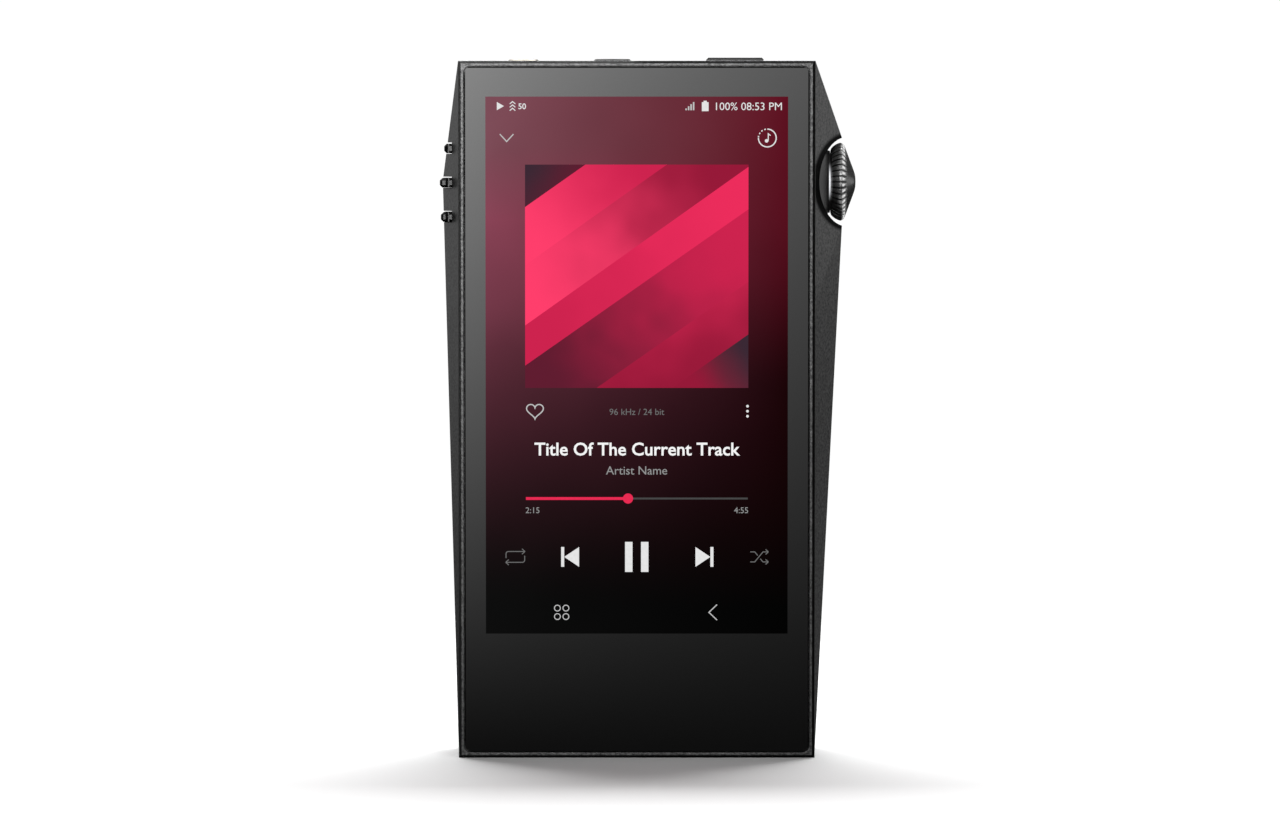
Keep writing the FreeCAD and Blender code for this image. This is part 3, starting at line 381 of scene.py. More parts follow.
def moulded(name, shade, roughness, grain=0.15 * MM, depth=0.006 * MM):
    """Moulded or pressed plastic: a fine spark-eroded grain and slightly rubbed edges."""
    finish = Finish(name)
    grainy = finish.noise(grain, 2.0)
    cloud = finish.noise(5 * MM)
    normal = finish.rounded(0.06 * MM)
    body = finish.mix(finish.remap(cloud, 0.35, 0.7), scaled(shade, 0.8), shade)
    finish.set("Base Color", finish.mix(finish.edges(normal), body, scaled(shade, 1.3, 0.01)))
    finish.set("Roughness", finish.remap(grainy, 0.3, 0.7, roughness - 0.06, roughness + 0.1))
    finish.bump(grainy, depth, normal)
    return finish.material


def cover_glass():
    """Glass over a black border, with a faint smear of fingers on it and a dull black rim."""
    finish = Finish("front_glass_black")
    smear = finish.noise(14 * MM, 4.0, finish.stretched((1.0, 1.0, 0.4)))
    dust = finish.noise(0.3 * MM, 1.0)
    middle = (glass_low.z + glass_high.z) / 2
    past_side = finish.math("SUBTRACT", finish.math("ABSOLUTE", finish.axis("X")), glass_high.x)
    past_end = finish.math("SUBTRACT", finish.distance(finish.axis("Z"), middle), glass_high.z - middle)
    rim = finish.remap(finish.math("MAXIMUM", past_side, past_end), -glass_rim, 0.02 * MM - glass_rim)
    clear = finish.remap(smear, 0.35, 0.75, 0.035, 0.06)
    finish.set("Base Color", finish.mix(finish.remap(dust, 0.3, 0.7), grey(5), grey(9)))
    finish.set("Roughness", finish.math("ADD", clear, finish.math("MULTIPLY", rim, 0.7)))
    finish.set("Specular IOR Level", finish.between(rim, 0.5, 0.03))
    finish.set("Normal", finish.rounded(0.06 * MM))
    return finish.material


def back_glass():
    """Black back glass over a film with slanting bands that catch the light in turn."""
    band = 13 * MM
    finish = Finish("back_glass_black", Coat_Weight=1.0, Coat_Roughness=0.04, Metallic=0.6)
    across = finish.math("MULTIPLY", finish.axis("X"), 0.8)
    slope = finish.math("ADD", across, finish.math("MULTIPLY", finish.axis("Z"), 0.6))
    bands = finish.remap(finish.math("PINGPONG", slope, band), 0.0, band)
    sparkle = finish.noise(0.12 * MM, 2.0)
    film = finish.mix(bands, grey(16), grey(44))
    finish.set("Base Color", finish.mix(finish.remap(sparkle, 0.35, 0.75, 0.0, 0.5), film, grey(24)))
    finish.set("Roughness", finish.between(bands, 0.22, 0.38))
    return finish.material


def printed_board(name, mask, copper):
    """A circuit board: solder mask, copper tracks showing through it, and plated holes."""
    finish = Finish(name)
    pattern = {"Vector": finish.stretched((1.0, 1.0, 1.6)), "Scale": 1 / (6 * MM), "Mortar Size": 0.035}
    tracks = finish.add("ShaderNodeTexBrick", pattern, offset=0.37).outputs["Fac"]
    cells = finish.add("ShaderNodeTexVoronoi", {"Vector": finish.place, "Scale": 1 / (2.4 * MM)})
    holes = finish.remap(cells.outputs["Distance"], 0.1, 0.13, 1.0, 0.0)
    weave = finish.noise(0.3 * MM, 2.0)
    body = finish.mix(finish.remap(weave, 0.3, 0.7, 0.0, 0.4), mask, grey(16))
    body = finish.mix(finish.math("MULTIPLY", tracks, 0.35), body, copper)
    finish.set("Base Color", finish.mix(holes, body, colour(208, 172, 96)))
    finish.set("Roughness", finish.between(holes, 0.42, 0.25))
    finish.set("Metallic", holes)
    finish.bump(tracks, 0.01 * MM)
    return finish.material


def flexible_circuit():
    """Amber polyimide with copper tracks side by side."""
    finish = Finish("flex_polyimide", Coat_Weight=0.3)
    track = finish.remap(finish.math("PINGPONG", finish.axis("X"), 0.2 * MM), 0.07 * MM, 0.1 * MM)
    cloud = finish.noise(3 * MM)
    base = finish.mix(finish.remap(cloud, 0.35, 0.7), colour(96, 52, 14), colour(128, 74, 20))
    finish.set("Base Color", finish.mix(finish.math("MULTIPLY", track, 0.6), base, colour(190, 118, 60)))
    finish.set("Roughness", finish.remap(cloud, 0.3, 0.7, 0.3, 0.42))
    finish.bump(track, 0.01 * MM)
    return finish.material


def layered_sheet(name, first, second, pitch, roughness):
    """A thin optical layer with the fine grid or dots that such a layer carries."""
    finish = Finish(name, Coat_Weight=0.5, Coat_Roughness=0.1)
    grid = {"Vector": finish.place, "Scale": 1 / pitch, "Randomness": 0.0}
    cells = finish.add("ShaderNodeTexVoronoi", grid)
    dots = finish.remap(cells.outputs["Distance"], 0.25, 0.35)
    cloud = finish.noise(8 * MM)
    finish.set("Base Color", finish.mix(dots, first, second))
    finish.set("Roughness", finish.remap(cloud, 0.3, 0.7, roughness, roughness + 0.12))
    finish.bump(dots, 0.004 * MM)
    return finish.material


def light_guide():
    """The frosted ring behind the wheel, with a painted highlight: it glows brightest on its front near the
    wheel's height.
    """
    finish = Finish("light_ring_frosted", Roughness=0.35)
    high = finish.distance(finish.axis("Z"), wheel_z)
    front = finish.remap(finish.axis("Y"), 0.0, -2.0 * MM)
    # painted highlight: the glow is brightest on the ring's front near the wheel's height and fades to almost
    # nothing elsewhere
    painted_highlight = finish.math("MULTIPLY", finish.remap(high, 0.6 * MM, 3.4 * MM, 1.0, 0.0, smooth=True), front)
    frost = finish.noise(0.2 * MM)
    frosted = finish.remap(frost, 0.3, 0.7)
    finish.set("Base Color", finish.mix(frosted, grey(36), grey(48)))
    finish.glow(finish.mix(painted_highlight, grey(10), finish.mix(frosted, colour(228, 230, 236), colour(250, 250, 252))))
    finish.bump(frost, 0.004 * MM)
    return finish.material


def lit_pixels(name):
    """The start of every finish on the screen: black and glossy, so that only its glow has a colour."""
    return Finish(name, Base_Color=grey(0), Roughness=0.04)


def screen_image():
    """The playing screen's background: a blurred wine-red that fades to black towards the bottom, partly the
    picture and partly a painted reflection, a paler rose haze on the left that grows towards the top.
    """
    finish = lit_pixels("screen_background")
    height = finish.remap(finish.axis("Z"), screen_bottom * MM, screen_top * MM)
    side = finish.remap(finish.axis("X"), -screen_half_width * MM, screen_half_width * MM)
    rose, dusty_rose, wine = colour(145, 72, 92), colour(130, 80, 92), colour(95, 15, 32)
    # the left side's paler rose, rising towards the top, is partly the picture and partly a painted
    # reflection of soft light from the upper left
    risen = finish.math("POWER", finish.remap(height, 0.05, 0.77), 2.0)
    left = finish.mix(risen, grey(13), rose)
    left = finish.mix(finish.remap(height, 0.77, 0.91), left, dusty_rose)
    slow = finish.remap(height, 0.05, 1.0, 0.0, 0.2)
    quick = finish.remap(height, 0.45, 0.85, 0.0, 0.8, smooth=True)
    right = finish.mix(finish.math("ADD", slow, quick), grey(1), wine)
    cloud = finish.remap(finish.noise(16 * MM, 1.0), 0.35, 0.65, 0.0, 0.12)
    picture_and_painted_reflection = finish.mix(finish.math("POWER", side, 0.78), left, right)
    finish.glow(finish.mix(cloud, picture_and_painted_reflection, grey(0)))
    return finish.material


def ink(name, shade):
    """Lit pixels of the display in one colour, with the panel's slight unevenness."""
    finish = lit_pixels(name)
    uneven = finish.remap(finish.noise(0.4 * MM, 1.0), 0.3, 0.7)
    finish.glow(finish.mix(uneven, scaled(shade, 0.93), shade))
    return finish.material


def paper_fold(name, start, end, first, second):
    """A picture surface that runs from one colour to another between two points (x, z)."""
    finish = lit_pixels(name)
    start, end = Vector(start) * MM, Vector(end) * MM
    run = (end - start) / (end - start).length_squared
    part_x = finish.math("MULTIPLY", finish.math("SUBTRACT", finish.axis("X"), start.x), run.x)
    part_z = finish.math("MULTIPLY", finish.math("SUBTRACT", finish.axis("Z"), start.y), run.y)
    waves = finish.remap(finish.noise(7 * MM, 1.0), 0.3, 0.7, -0.06, 0.06)
    share = finish.math("ADD", finish.math("ADD", part_x, part_z), waves)
    finish.glow(finish.mix(finish.remap(share, 0.0, 1.0, smooth=True), first, second))
    return finish.material


def finishes():
    """The finish of each material slot in the record."""
    return {
        "case_metal": case_metal(),
        "key_metal": key_metal(),
        "wheel_metal": wheel_metal(),
        "pedestal_metal": brushed("pedestal_satin", grey(56), 0.34, (1.0, 0.06, 0.06), metallic=0.8),
        "cover_glass": cover_glass(),
        "back_glass": back_glass(),
        "adhesive": moulded("adhesive_foam", grey(5), 0.75, grain=0.3 * MM, depth=0.03 * MM),
        "touch_film": layered_sheet("touch_grid", grey(34), grey(54), 1.0 * MM, 0.12),
        "lcd_cell": layered_sheet("display_cell", grey(12), grey(24), 0.3 * MM, 0.1),
        "backlight": layered_sheet("backlight_dots", grey(226), grey(246), 0.8 * MM, 0.4),
        "flex": flexible_circuit(),
        "frame_metal": anodised("magnesium_frame", grey(150), 0.5, grain=0.4 * MM).material,
        "bush_brass": brushed("turned_brass", colour(212, 170, 92), 0.28, (1.0, 0.05, 0.05)),
        "light_guide": light_guide(),
        "circuit_board": printed_board("board_green", colour(14, 62, 44), colour(58, 120, 78)),
        "washer_plastic": moulded("acetal_white", grey(222), 0.4),
        "chip": moulded("epoxy_black", grey(34), 0.55),
        "bracket_steel": brushed("pressed_steel", grey(150), 0.36, (0.08, 1.0, 1.0)),
        "shield_steel": brushed("tinned_steel", grey(176), 0.32, (1.0, 1.0, 0.08)),
        "pale_collar": brushed("collar_champagne", colour(186, 180, 168), 0.34, (0.1, 0.1, 1.0)),
        "dark_collar": anodised("collar_black", grey(30), 0.24, grain=0.1 * MM, wear=2.0).material,
        "thermal": moulded("thermal_pad", colour(150, 142, 160), 0.8, grain=0.5 * MM, depth=0.04 * MM),
        "capacitor": moulded("capacitor_sleeve", colour(24, 40, 92), 0.3),
        "battery_pouch": brushed("pouch_foil", grey(168), 0.42, (0.4, 1.0, 0.4), 2 * MM, depth=0.03 * MM),
        "shaft_steel": brushed("ground_steel", grey(184), 0.2, (1.0, 0.04, 0.04)),
        "magnet": brushed("nickel_plate", grey(164), 0.24, (1.0, 0.5, 0.5)),
        "screw_steel": brushed("screw_zinc", grey(120), 0.3, (0.5, 1.0, 0.5)),
    }


def add_finishes(made):
    """Gives each CAD node the finish of its slot."""
    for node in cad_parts.values():
        slot_name = node.data.materials[0].name.split(".")[0]
        node.data.materials[0] = made[slot_name]


# ================================================================ mesh helpers
def place_piece(name, mesh, material, body, slot):
    """Makes a piece from a mesh that is already in the frame, and rides it on its body."""
    mesh.materials.append(material)
    piece = bpy.data.objects.new(name, mesh)
    bpy.context.scene.collection.objects.link(piece)
    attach(piece, body)
    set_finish(piece, slot)
    return piece


def mesh_from(name, points, faces):
    mesh = bpy.data.meshes.new(name)
    mesh.from_pydata(points, [], faces)
    mesh.validate()
    return mesh


def layer_front(layer):
    """Where the front of a plate in that layer of the display is."""
    return glass_front - screen_lift - layer * layer_step


def slab(name, polygons, layer, material, x=0.0, z=0.0):
    """A thin closed plate on the glass. Its polygons may share edges, and hold (x, z) points in
    millimetres from the centre that is given."""
    index = {}
    flat = []
    for polygon in polygons:
        placed = [(round((x + px) * MM, 8), round((z + pz) * MM, 8)) for px, pz in polygon]
        flat.append([index.setdefault(point, len(index)) for point in placed])
    count = len(index)
    front, back = layer_front(layer), glass_front + plate_sink
    points = [(px, front, pz) for px, pz in index] + [(px, back, pz) for px, pz in index]
    edges = set()
    for face in flat:
        edges.update(zip(face, face[1:] + face[:1]))
    faces = [list(face) for face in flat] + [[i + count for i in reversed(face)] for face in flat]
    faces += [[b, a, a + count, b + count] for a, b in sorted(edges) if (b, a) not in edges]
    return place_piece(name, mesh_from(name, points, faces), material, "case", "lcd_cell")


def arc(x, z, radius, start, end, steps):
    """Points on an arc, with angles in degrees from the right, turning left."""
    turns = [math.radians(start + (end - start) * step / steps) for step in range(steps + 1)]
    return [(x + radius * math.cos(turn), z + radius * math.sin(turn)) for turn in turns]


def disc(x, z, radius, steps):
    return arc(x, z, radius, 0, 360, steps)[:-1]


def box_outline(left, right, bottom, top):
    return [(left, bottom), (right, bottom), (right, top), (left, top)]


def stroke(points, width, closed=False):
    """Quads along a line of the given width, mitred at its corners."""
    sharpest_mitre = 0.35
    count = len(points)
    sides = []
    for i, (x, z) in enumerate(points):
        before = points[i - 1] if i or closed else None
        after = points[(i + 1) % count] if i < count - 1 or closed else None
        normals = []
        for a, b in ((before, (x, z)), ((x, z), after)):
            if a and b:
                step = (Vector(b) - Vector(a)).normalized()
                normals.append(Vector((-step.y, step.x)))
        along = sum(normals, Vector((0, 0))).normalized()
        reach = width / 2 / max(along.dot(normals[0]), sharpest_mitre)
        sides.append(((x - along.x * reach, z - along.y * reach), (x + along.x * reach, z + along.y * reach)))
    following = sides[1:] + sides[:1] if closed else sides[1:]
    return [[first[0], second[0], second[1], first[1]] for first, second in zip(sides, following)]


def arrow_head(tip_x, tip_z, side, length, spread, width):
    """Two strokes that meet at a tip. side is 1 for an arrow that points right."""
    lines = []
    for way in (-1, 1):
        lines += stroke([(tip_x - side * length, tip_z + way * spread), (tip_x, tip_z)], width)
    return lines


def lettering(name, text, x, z, height, material, side="CENTER", weight=0.0):
    """Raised characters on the glass. height is that of a capital letter; sizes are in millimetres."""
    capital_share = 0.73
    curve = bpy.data.curves.new(name, "FONT")
    curve.body = text
    curve.size = height * MM / capital_share
    curve.align_x = side
    curve.offset = weight * MM
    curve.resolution_u = 3
    front, back = layer_front(mark_layer), glass_front + plate_sink
    curve.extrude = (back - front) / 2
    shape = bpy.data.objects.new(name, curve)
    mesh = bpy.data.meshes.new_from_object(shape)
    bpy.data.objects.remove(shape)
    middle = Matrix.Translation((x * MM, (front + back) / 2, (z - height / 2) * MM))
    mesh.transform(middle @ Matrix.Rotation(math.pi / 2, 4, "X"))
    mesh.materials.clear()
    return place_piece(name, mesh, material, "case", "lcd_cell")


# ================================================================ the playing screen, in millimetres
def add_cover():
    """Square cover picture: folded paper bands in pinks and wine reds."""
    def corner(u, v):
        """A point of the cover, whose sides are at -1 and 1."""
        return (u * cover_half, cover_middle + v * cover_half)

    pink, rose, crimson = colour(255, 62, 108), colour(236, 44, 92), colour(205, 34, 78)
    wine, plum, dusk = colour(150, 24, 56), colour(96, 28, 48), colour(58, 40, 52)
    outlines = {
        "back": [(-1, -1), (1, -1), (1, 1), (-1, 1)],
        "corner": [(-1, 1), (-1, 0.62), (-0.46, 1)],
        "upper": [(-1, 0.62), (-1, 0.1), (0.27, 1), (-0.46, 1)],
        "middle": [(-1, 0.1), (-1, -0.44), (1, 0.98), (1, 1), (0.27, 1)],
        "lower": [(-1, -0.44), (-1, -0.8), (1, 0.6), (1, 0.98)],
        "shade": [(-1, -0.8), (-1, -1), (-0.36, -1), (1, -0.05), (1, 0.6)],
        "foot": [(0.32, -1), (1, -1), (1, -0.52)],
    }
    # each fold's shading: where its first colour is, where its second is, and the two colours
    shadings = {
        "back": ((0.2, 1), (0.9, -1), rose, wine),
        "corner": ((-0.6, 0.7), (-1, 1), plum, dusk),
        "upper": ((-1, 0.3), (0.1, 1), pink, crimson),
        "middle": ((-0.9, -0.4), (0.8, 0.9), pink, wine),
        "lower": ((-1, -0.5), (1, 0.8), crimson, rose),
        "shade": ((-0.8, -1), (0.9, 0.5), plum, crimson),
        "foot": ((0.5, -1), (1, -0.7), wine, dusk),
    }
    for name, outline in outlines.items():
        start, end, first, second = shadings[name]
        layer = picture_layer if name == "back" else fold_layer
        material = paper_fold("cover_" + name, corner(*start), corner(*end), first, second)
        slab("cover_picture_" + name, [[corner(*point) for point in outline]], layer, material)


def add_status_icons(inks):
    """Play mark and volume mark at the left, battery and signal strength at the right."""
    play = [(-0.55, -0.7), (0.65, 0.0), (-0.55, 0.7)]
    slab("status_play", [play], mark_layer, inks["white"], -23.05, status_row)
    chevrons = []
    for level in (-0.56, 0.0, 0.56):
        chevrons += stroke([(-0.47, level - 0.2), (0.0, level + 0.2), (0.47, level - 0.2)], 0.16)
    slab("status_volume_mark", chevrons, mark_layer, inks["white"], -20.95, status_row)
    cell = box_outline(-0.57, 0.57, -0.86, 0.66)
    pole = box_outline(-0.27, 0.27, 0.66, 0.9)
    slab("status_battery", [cell, pole], mark_layer, inks["white"], 11.55, status_row)
    bar_step, bar_width, bar_rise = 0.42, 0.26, 0.36
    bars = []
    for step in range(4):
        left = bar_step * step
        bars.append(box_outline(left, left + bar_width, -0.7, bar_rise * step - 0.4))
    slab("status_signal", bars, mark_layer, inks["soft"], 8.2, status_row)


def add_menu_icons(inks):
    """Chevron to fold the screen down, and the ringed note."""
    chevron = [(-1.15, 0.66), (0.0, -0.6), (1.15, 0.66)]
    slab("menu_chevron", stroke(chevron, 0.19), mark_layer, inks["soft"], -21.95, menu_row)
    centre_x, radius, width, dash = 22.03, 1.5, 0.2, 10
    ring = stroke(arc(0, 0, radius, -180, 90, 40), width)
    for start in (100, 122, 144, 166):
        ring += stroke(arc(0, 0, radius, start, start + dash, 3), width)
    stem = stroke([(0.16, -0.45), (0.16, 0.72), (0.55, 0.4)], 0.16)
    head = disc(-0.12, -0.48, 0.3, 16)
    slab("menu_ring", ring, mark_layer, inks["white"], centre_x, menu_row)
    slab("menu_note", stem, mark_layer, inks["white"], centre_x, menu_row)
    slab("menu_note_head", [head], note_layer, inks["white"], centre_x, menu_row)


def heart_point(turn):
    """A point on a heart 32 units wide, by the usual parametric formula."""
    z = 13 * math.cos(turn) - 5 * math.cos(2 * turn) - 2 * math.cos(3 * turn) - math.cos(4 * turn)
    return (16 * math.sin(turn) ** 3, z)


def add_detail_icons(inks):
    """Heart and the three dots beside the sound format."""
    steps = 48
    scale_x, scale_z, raised = 0.089, 0.085, 0.2
    outline = []
    for step in reversed(range(steps)):
        x, z = heart_point(math.tau * step / steps)
        outline.append((x * scale_x, z * scale_z + raised))
    slab("like_heart", stroke(outline, 0.2, closed=True), mark_layer, inks["soft"], -17.21, detail_row)
    dots = [disc(0, 0.07 + level * 0.85, 0.23, 16) for level in (-1, 0, 1)]
    slab("more_dots", dots, mark_layer, inks["white"], 18.73, detail_row)


def add_progress(inks):
    """Played and unplayed parts of the progress line, and the knob between them."""
    thick, thin = 0.24, 0.16
    rest = box_outline(played_to, margin_right, -thin, thin)
    played = box_outline(margin_left, played_to, -thick, thick)
    slab("progress_rest", [rest], line_layer, inks["line"], z=progress_row)
    slab("progress_played", [played], played_layer, inks["red"], z=progress_row)
    slab("progress_knob", [disc(0, 0, 0.86, 32)], mark_layer, inks["red"], played_to, progress_row)


def add_pause(material):
    inner, outer, half = 0.72, 1.98, 2.55
    bars = [box_outline(-outer, -inner, -half, half), box_outline(inner, outer, -half, half)]
    slab("control_pause", bars, mark_layer, material, z=control_row)


def add_skip(name, centre, side, material):
    """A wedge against a bar. side is 1 for next and -1 for previous."""
    inner, outer, half = 1.0, 1.52, 1.68
    left, right = sorted((side * inner, side * outer))
    wedge = [(side * inner, 0), (-side * outer, side * half), (-side * outer, -side * half)]
    slab(name, [box_outline(left, right, -half, half), wedge], mark_layer, material, centre, control_row)


def add_repeat(material):
    """Two arrows that chase each other round a rounded box."""
    width, reach, rise, bend = 0.15, 1.58, 0.92, 0.4
    lines = []
    for side, start, end in ((-1, 0, -90), (1, 180, 90)):
        corner = arc(-side * (reach - bend), side * (rise - bend), bend, start, end, 6)
        path = [(-side * reach, -side * 0.2)] + corner + [(side * reach, side * rise)]
        lines += stroke(path, width)
        lines += arrow_head(side * (reach + 0.05), side * rise, side, 0.5, 0.45, width)
    slab("control_repeat", lines, mark_layer, material, -20.55, control_row)


def add_shuffle(material):
    """Two crossing arrows, the lower one broken where the other passes over it."""
    width, reach, rise, bend = 0.15, 1.5, 0.85, 0.65
    lines = stroke([(-reach, -rise), (-0.75, -rise), (bend, rise), (reach, rise)], width)
    lines += stroke([(-reach, rise), (-0.75, rise), (-0.25, 0.25)], width)
    lines += stroke([(0.2, -0.32), (bend, -rise), (reach, -rise)], width)
    for level in (-1, 1):
        lines += arrow_head(reach + 0.05, level * rise, 1, 0.45, 0.42, width)
    slab("control_shuffle", lines, mark_layer, material, 20.72, control_row)


def add_bottom_icons(inks):
    """Four rings for home, and the chevron for back."""
    offset, radius = 0.72, 0.5
    rings = []
    for side in (-offset, offset):
        for level in (-offset, offset):
            rings += stroke(disc(side, level, radius, 24), 0.15, closed=True)
    slab("home_rings", rings, mark_layer, inks["soft"], -12.72, bottom_row)
    back = [(0.69, 1.32), (-0.69, 0.0), (0.69, -1.32)]
    slab("back_chevron", stroke(back, 0.17), mark_layer, inks["soft"], 12.91, bottom_row)


def add_words(inks):
    """Generic words and numbers."""
    lettering("status_volume", "50", -19.34, status_row, 1.0, inks["white"], weight=0.02)
    lettering("status_charge", "100% 08:53 PM", 24.62, status_row, 1.36, inks["white"], side="RIGHT")
    lettering("sound_format", "96 kHz / 24 bit", 0.0, detail_row, 1.12, inks["dim"])
    lettering("track_title", "Title Of The Current Track", 0.0, title_row, 2.24, inks["bright"], weight=0.05)
    lettering("artist_name", "Artist Name", 0.0, artist_row, 1.5, inks["quiet"])
    lettering("time_played", "2:15", margin_left - 0.1, time_row, 1.05, inks["quiet"], side="LEFT")
    lettering("time_total", "4:55", margin_right + 0.15, time_row, 1.05, inks["quiet"], side="RIGHT")


def add_screen():
    """The lit display: its background, cover picture, icons and words."""
    inks = {
        "bright": ink("pixels_bright", grey(250)),
        "white": ink("pixels_white", grey(232)),
        "soft": ink("pixels_soft", grey(196)),
        "quiet": ink("pixels_quiet", grey(150)),
        "dim": ink("pixels_dim", grey(112)),
        "line": ink("pixels_line", grey(72)),
        "red": ink("pixels_red", colour(236, 44, 84)),
    }
    area = box_outline(-screen_half_width, screen_half_width, screen_bottom, screen_top)
    slab("screen_background", [area], background_layer, screen_image())
    add_cover()
    add_status_icons(inks)
    add_menu_icons(inks)
    add_detail_icons(inks)
    add_progress(inks)
    add_pause(inks["white"])
    add_skip("control_previous", -11.28, -1, inks["white"])
    add_skip("control_next", 11.46, 1, inks["white"])
    add_repeat(inks["dim"])
    add_shuffle(inks["dim"])
    add_bottom_icons(inks)
    add_words(inks)


# ================================================================ volume wheel
def crown_ring(points, offset, steps):
    """Adds a ring to the crown's points and returns their numbers. Each tooth has a point for each
    (share of the pitch, radius) step, and turns run from straight up towards the glass."""
    ring = []
    for tooth in range(crown_teeth):
        for share, radius in steps:
            turn = (tooth + share) * tooth_pitch
            ring.append(len(points))
            y, z = -radius * math.sin(turn), wheel_z + radius * math.cos(turn)
            points.append((crown_back_x + offset, y, z))
    return ring


def band(first, second):
    """Quads between two rings that have as many points as each other."""
    following = zip(first[1:] + first[:1], second[1:] + second[:1])
    return [[a, b, c, d] for (a, d), (b, c) in zip(zip(first, second), following)]


def stud_faces(rim, crests, valleys):
    """The studs: a crest over each ridge, and a groove that runs on to the cone between them."""
    per_tooth = len(rim) // crown_teeth
    faces = []
    for tooth in range(crown_teeth):
        start = tooth * per_tooth
        edge_up, groove, edge_down = rim[start:start + 3]
        top = rim[start + 2:start + per_tooth] + [rim[(start + per_tooth) % len(rim)]]
        crest, crest_before, valley = crests[tooth], crests[tooth - 1], valleys[tooth]
        faces += [[groove, edge_down, crest], [groove, crest, valley]]
        faces += [[edge_up, groove, crest_before], [groove, valley, crest_before]]
        faces += [[first, second, crest] for first, second in zip(top, top[1:])]
        faces.append([crest, valleys[(tooth + 1) % crown_teeth], valley])
    return faces


def add_crown(material):
    """The wheel's crown: broad ridges between narrow grooves, a row of studs, and a plain cone."""
    # distance from the crown's back and radius in millimetres, and how deep the grooves are there
    ridge_rows = [
        (0.0, 5.4, 0.0),
        (0.1, 5.68, 0.6),
        (0.4, 5.98, 1.0),
        (0.8, 6.28, 1.0),
        (1.25, 6.5, 1.0),
        (1.6, 6.61, 1.0),
        (ridge_length / MM, 6.6, 1.0),
    ]
    cone_rows = [(3.1, 4.16), (3.55, 2.96), (3.96, 1.85), (4.12, 1.34), (4.21, 0.85), (4.24, 0.4)]
    half = groove_share / 2
    tooth_steps = [(-half, 0.0), (0.0, 1.0), (half, 0.0), (0.34, ridge_sag), (0.66, ridge_sag)]
    points = []
    rows = []
    for offset, radius, cut in ridge_rows:
        steps = [(share, radius * MM - sunk * cut * groove_depth) for share, sunk in tooth_steps]
        rows.append(crown_ring(points, offset * MM, steps))
    crests = crown_ring(points, crest_offset, [(0.5, crest_radius)])
    valleys = crown_ring(points, valley_offset, [(0.0, valley_radius)])
    cones = [valleys]
    for offset, radius in cone_rows:
        cones.append(crown_ring(points, offset * MM, [(0.0, radius * MM)]))
    faces = stud_faces(rows[-1], crests, valleys)
    for rings in (rows, cones):
        for first, second in zip(rings, rings[1:]):
            faces += band(first, second)
    faces += [list(cones[-1]), list(reversed(rows[0]))]
    mesh = mesh_from("volume_crown", points, faces)
    mesh.shade_smooth()
    mesh.set_sharp_from_angle(angle=math.radians(crease_angle))
    piece = place_piece("volume_crown", mesh, material, "wheel", "wheel_metal")
    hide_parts("volume_wheel")
    return piece


# ================================================================ stage, light and camera
def flat_card(name, corners):
    mesh = bpy.data.meshes.new(name)
    mesh.from_pydata(corners, [], [list(range(len(corners)))])
    card = bpy.data.objects.new(name, mesh)
    bpy.context.scene.collection.objects.link(card)
    card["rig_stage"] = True
    return card


def level_corners(left, right, front, back, z):
    return [(left, front, z), (right, front, z), (right, back, z), (left, back, z)]


def upright_corners(first, second, low, high):
    """Corners of a standing card between two (x, y) places."""
    return [(*first, low), (*second, low), (*second, high), (*first, high)]


def add_floor():
    """A wide white table that takes the shadow and isn't mirrored in the glass."""
    floor = flat_card("floor", level_corners(-floor_reach, floor_reach, -floor_reach, floor_reach, 0))
    finish = Finish("floor_white", Roughness=0.9, Specular_IOR_Level=0.0)
    paper = finish.remap(finish.noise(60 * MM, 2.0), 0.3, 0.7)
    distance = finish.add("ShaderNodeVectorMath", {0: finish.place}, operation="LENGTH").outputs["Value"]
    finish.set("Base Color", finish.mix(paper, grey(246), grey(249)))
    finish.set("Alpha", finish.remap(distance, 0.16, 0.34, 1.0, 0.0, smooth=True))
    floor.data.materials.append(finish.material)
    floor.visible_glossy = False
    floor.visible_diffuse = False


def only_on(emitter, receivers):
    """Nothing but the receivers mirrors this emitter or is lit by it."""
    chosen = bpy.data.collections.new(emitter.name + "_only_on")
    emitter.light_linking.receiver_collection = chosen
    for receiver in receivers:
        chosen.objects.link(receiver)


def keep_off(emitter, receivers):
    """The receivers neither mirror this emitter nor are lit by it."""
    shut_out = bpy.data.collections.new(emitter.name + "_not_on")
    emitter.light_linking.receiver_collection = shut_out
    for receiver in receivers:
        shut_out.objects.link(receiver)
    for member in shut_out.collection_objects:
        member.light_linking.link_state = "EXCLUDE"


def emissive_card(name, corners, brightness):
    """A card that only mirrors see, and see through. brightness is given the finish, and returns
    how bright the card is at each point."""
    card = flat_card(name, corners)
    finish = Finish(name)
    glow = finish.add("ShaderNodeEmission", {"Color": grey(255), "Strength": brightness(finish)})
    clear = finish.add("ShaderNodeBsdfTransparent")
    both = finish.add("ShaderNodeAddShader", {0: clear.outputs[0], 1: glow.outputs[0]})
    finish.tree.nodes.remove(finish.shader)
    finish.tree.links.new(both.outputs[0], finish.tree.nodes["Material Output"].inputs["Surface"])
    card.data.materials.append(finish.material)
    card.visible_camera = False
    card.visible_diffuse = False
    card.visible_shadow = False
    return card


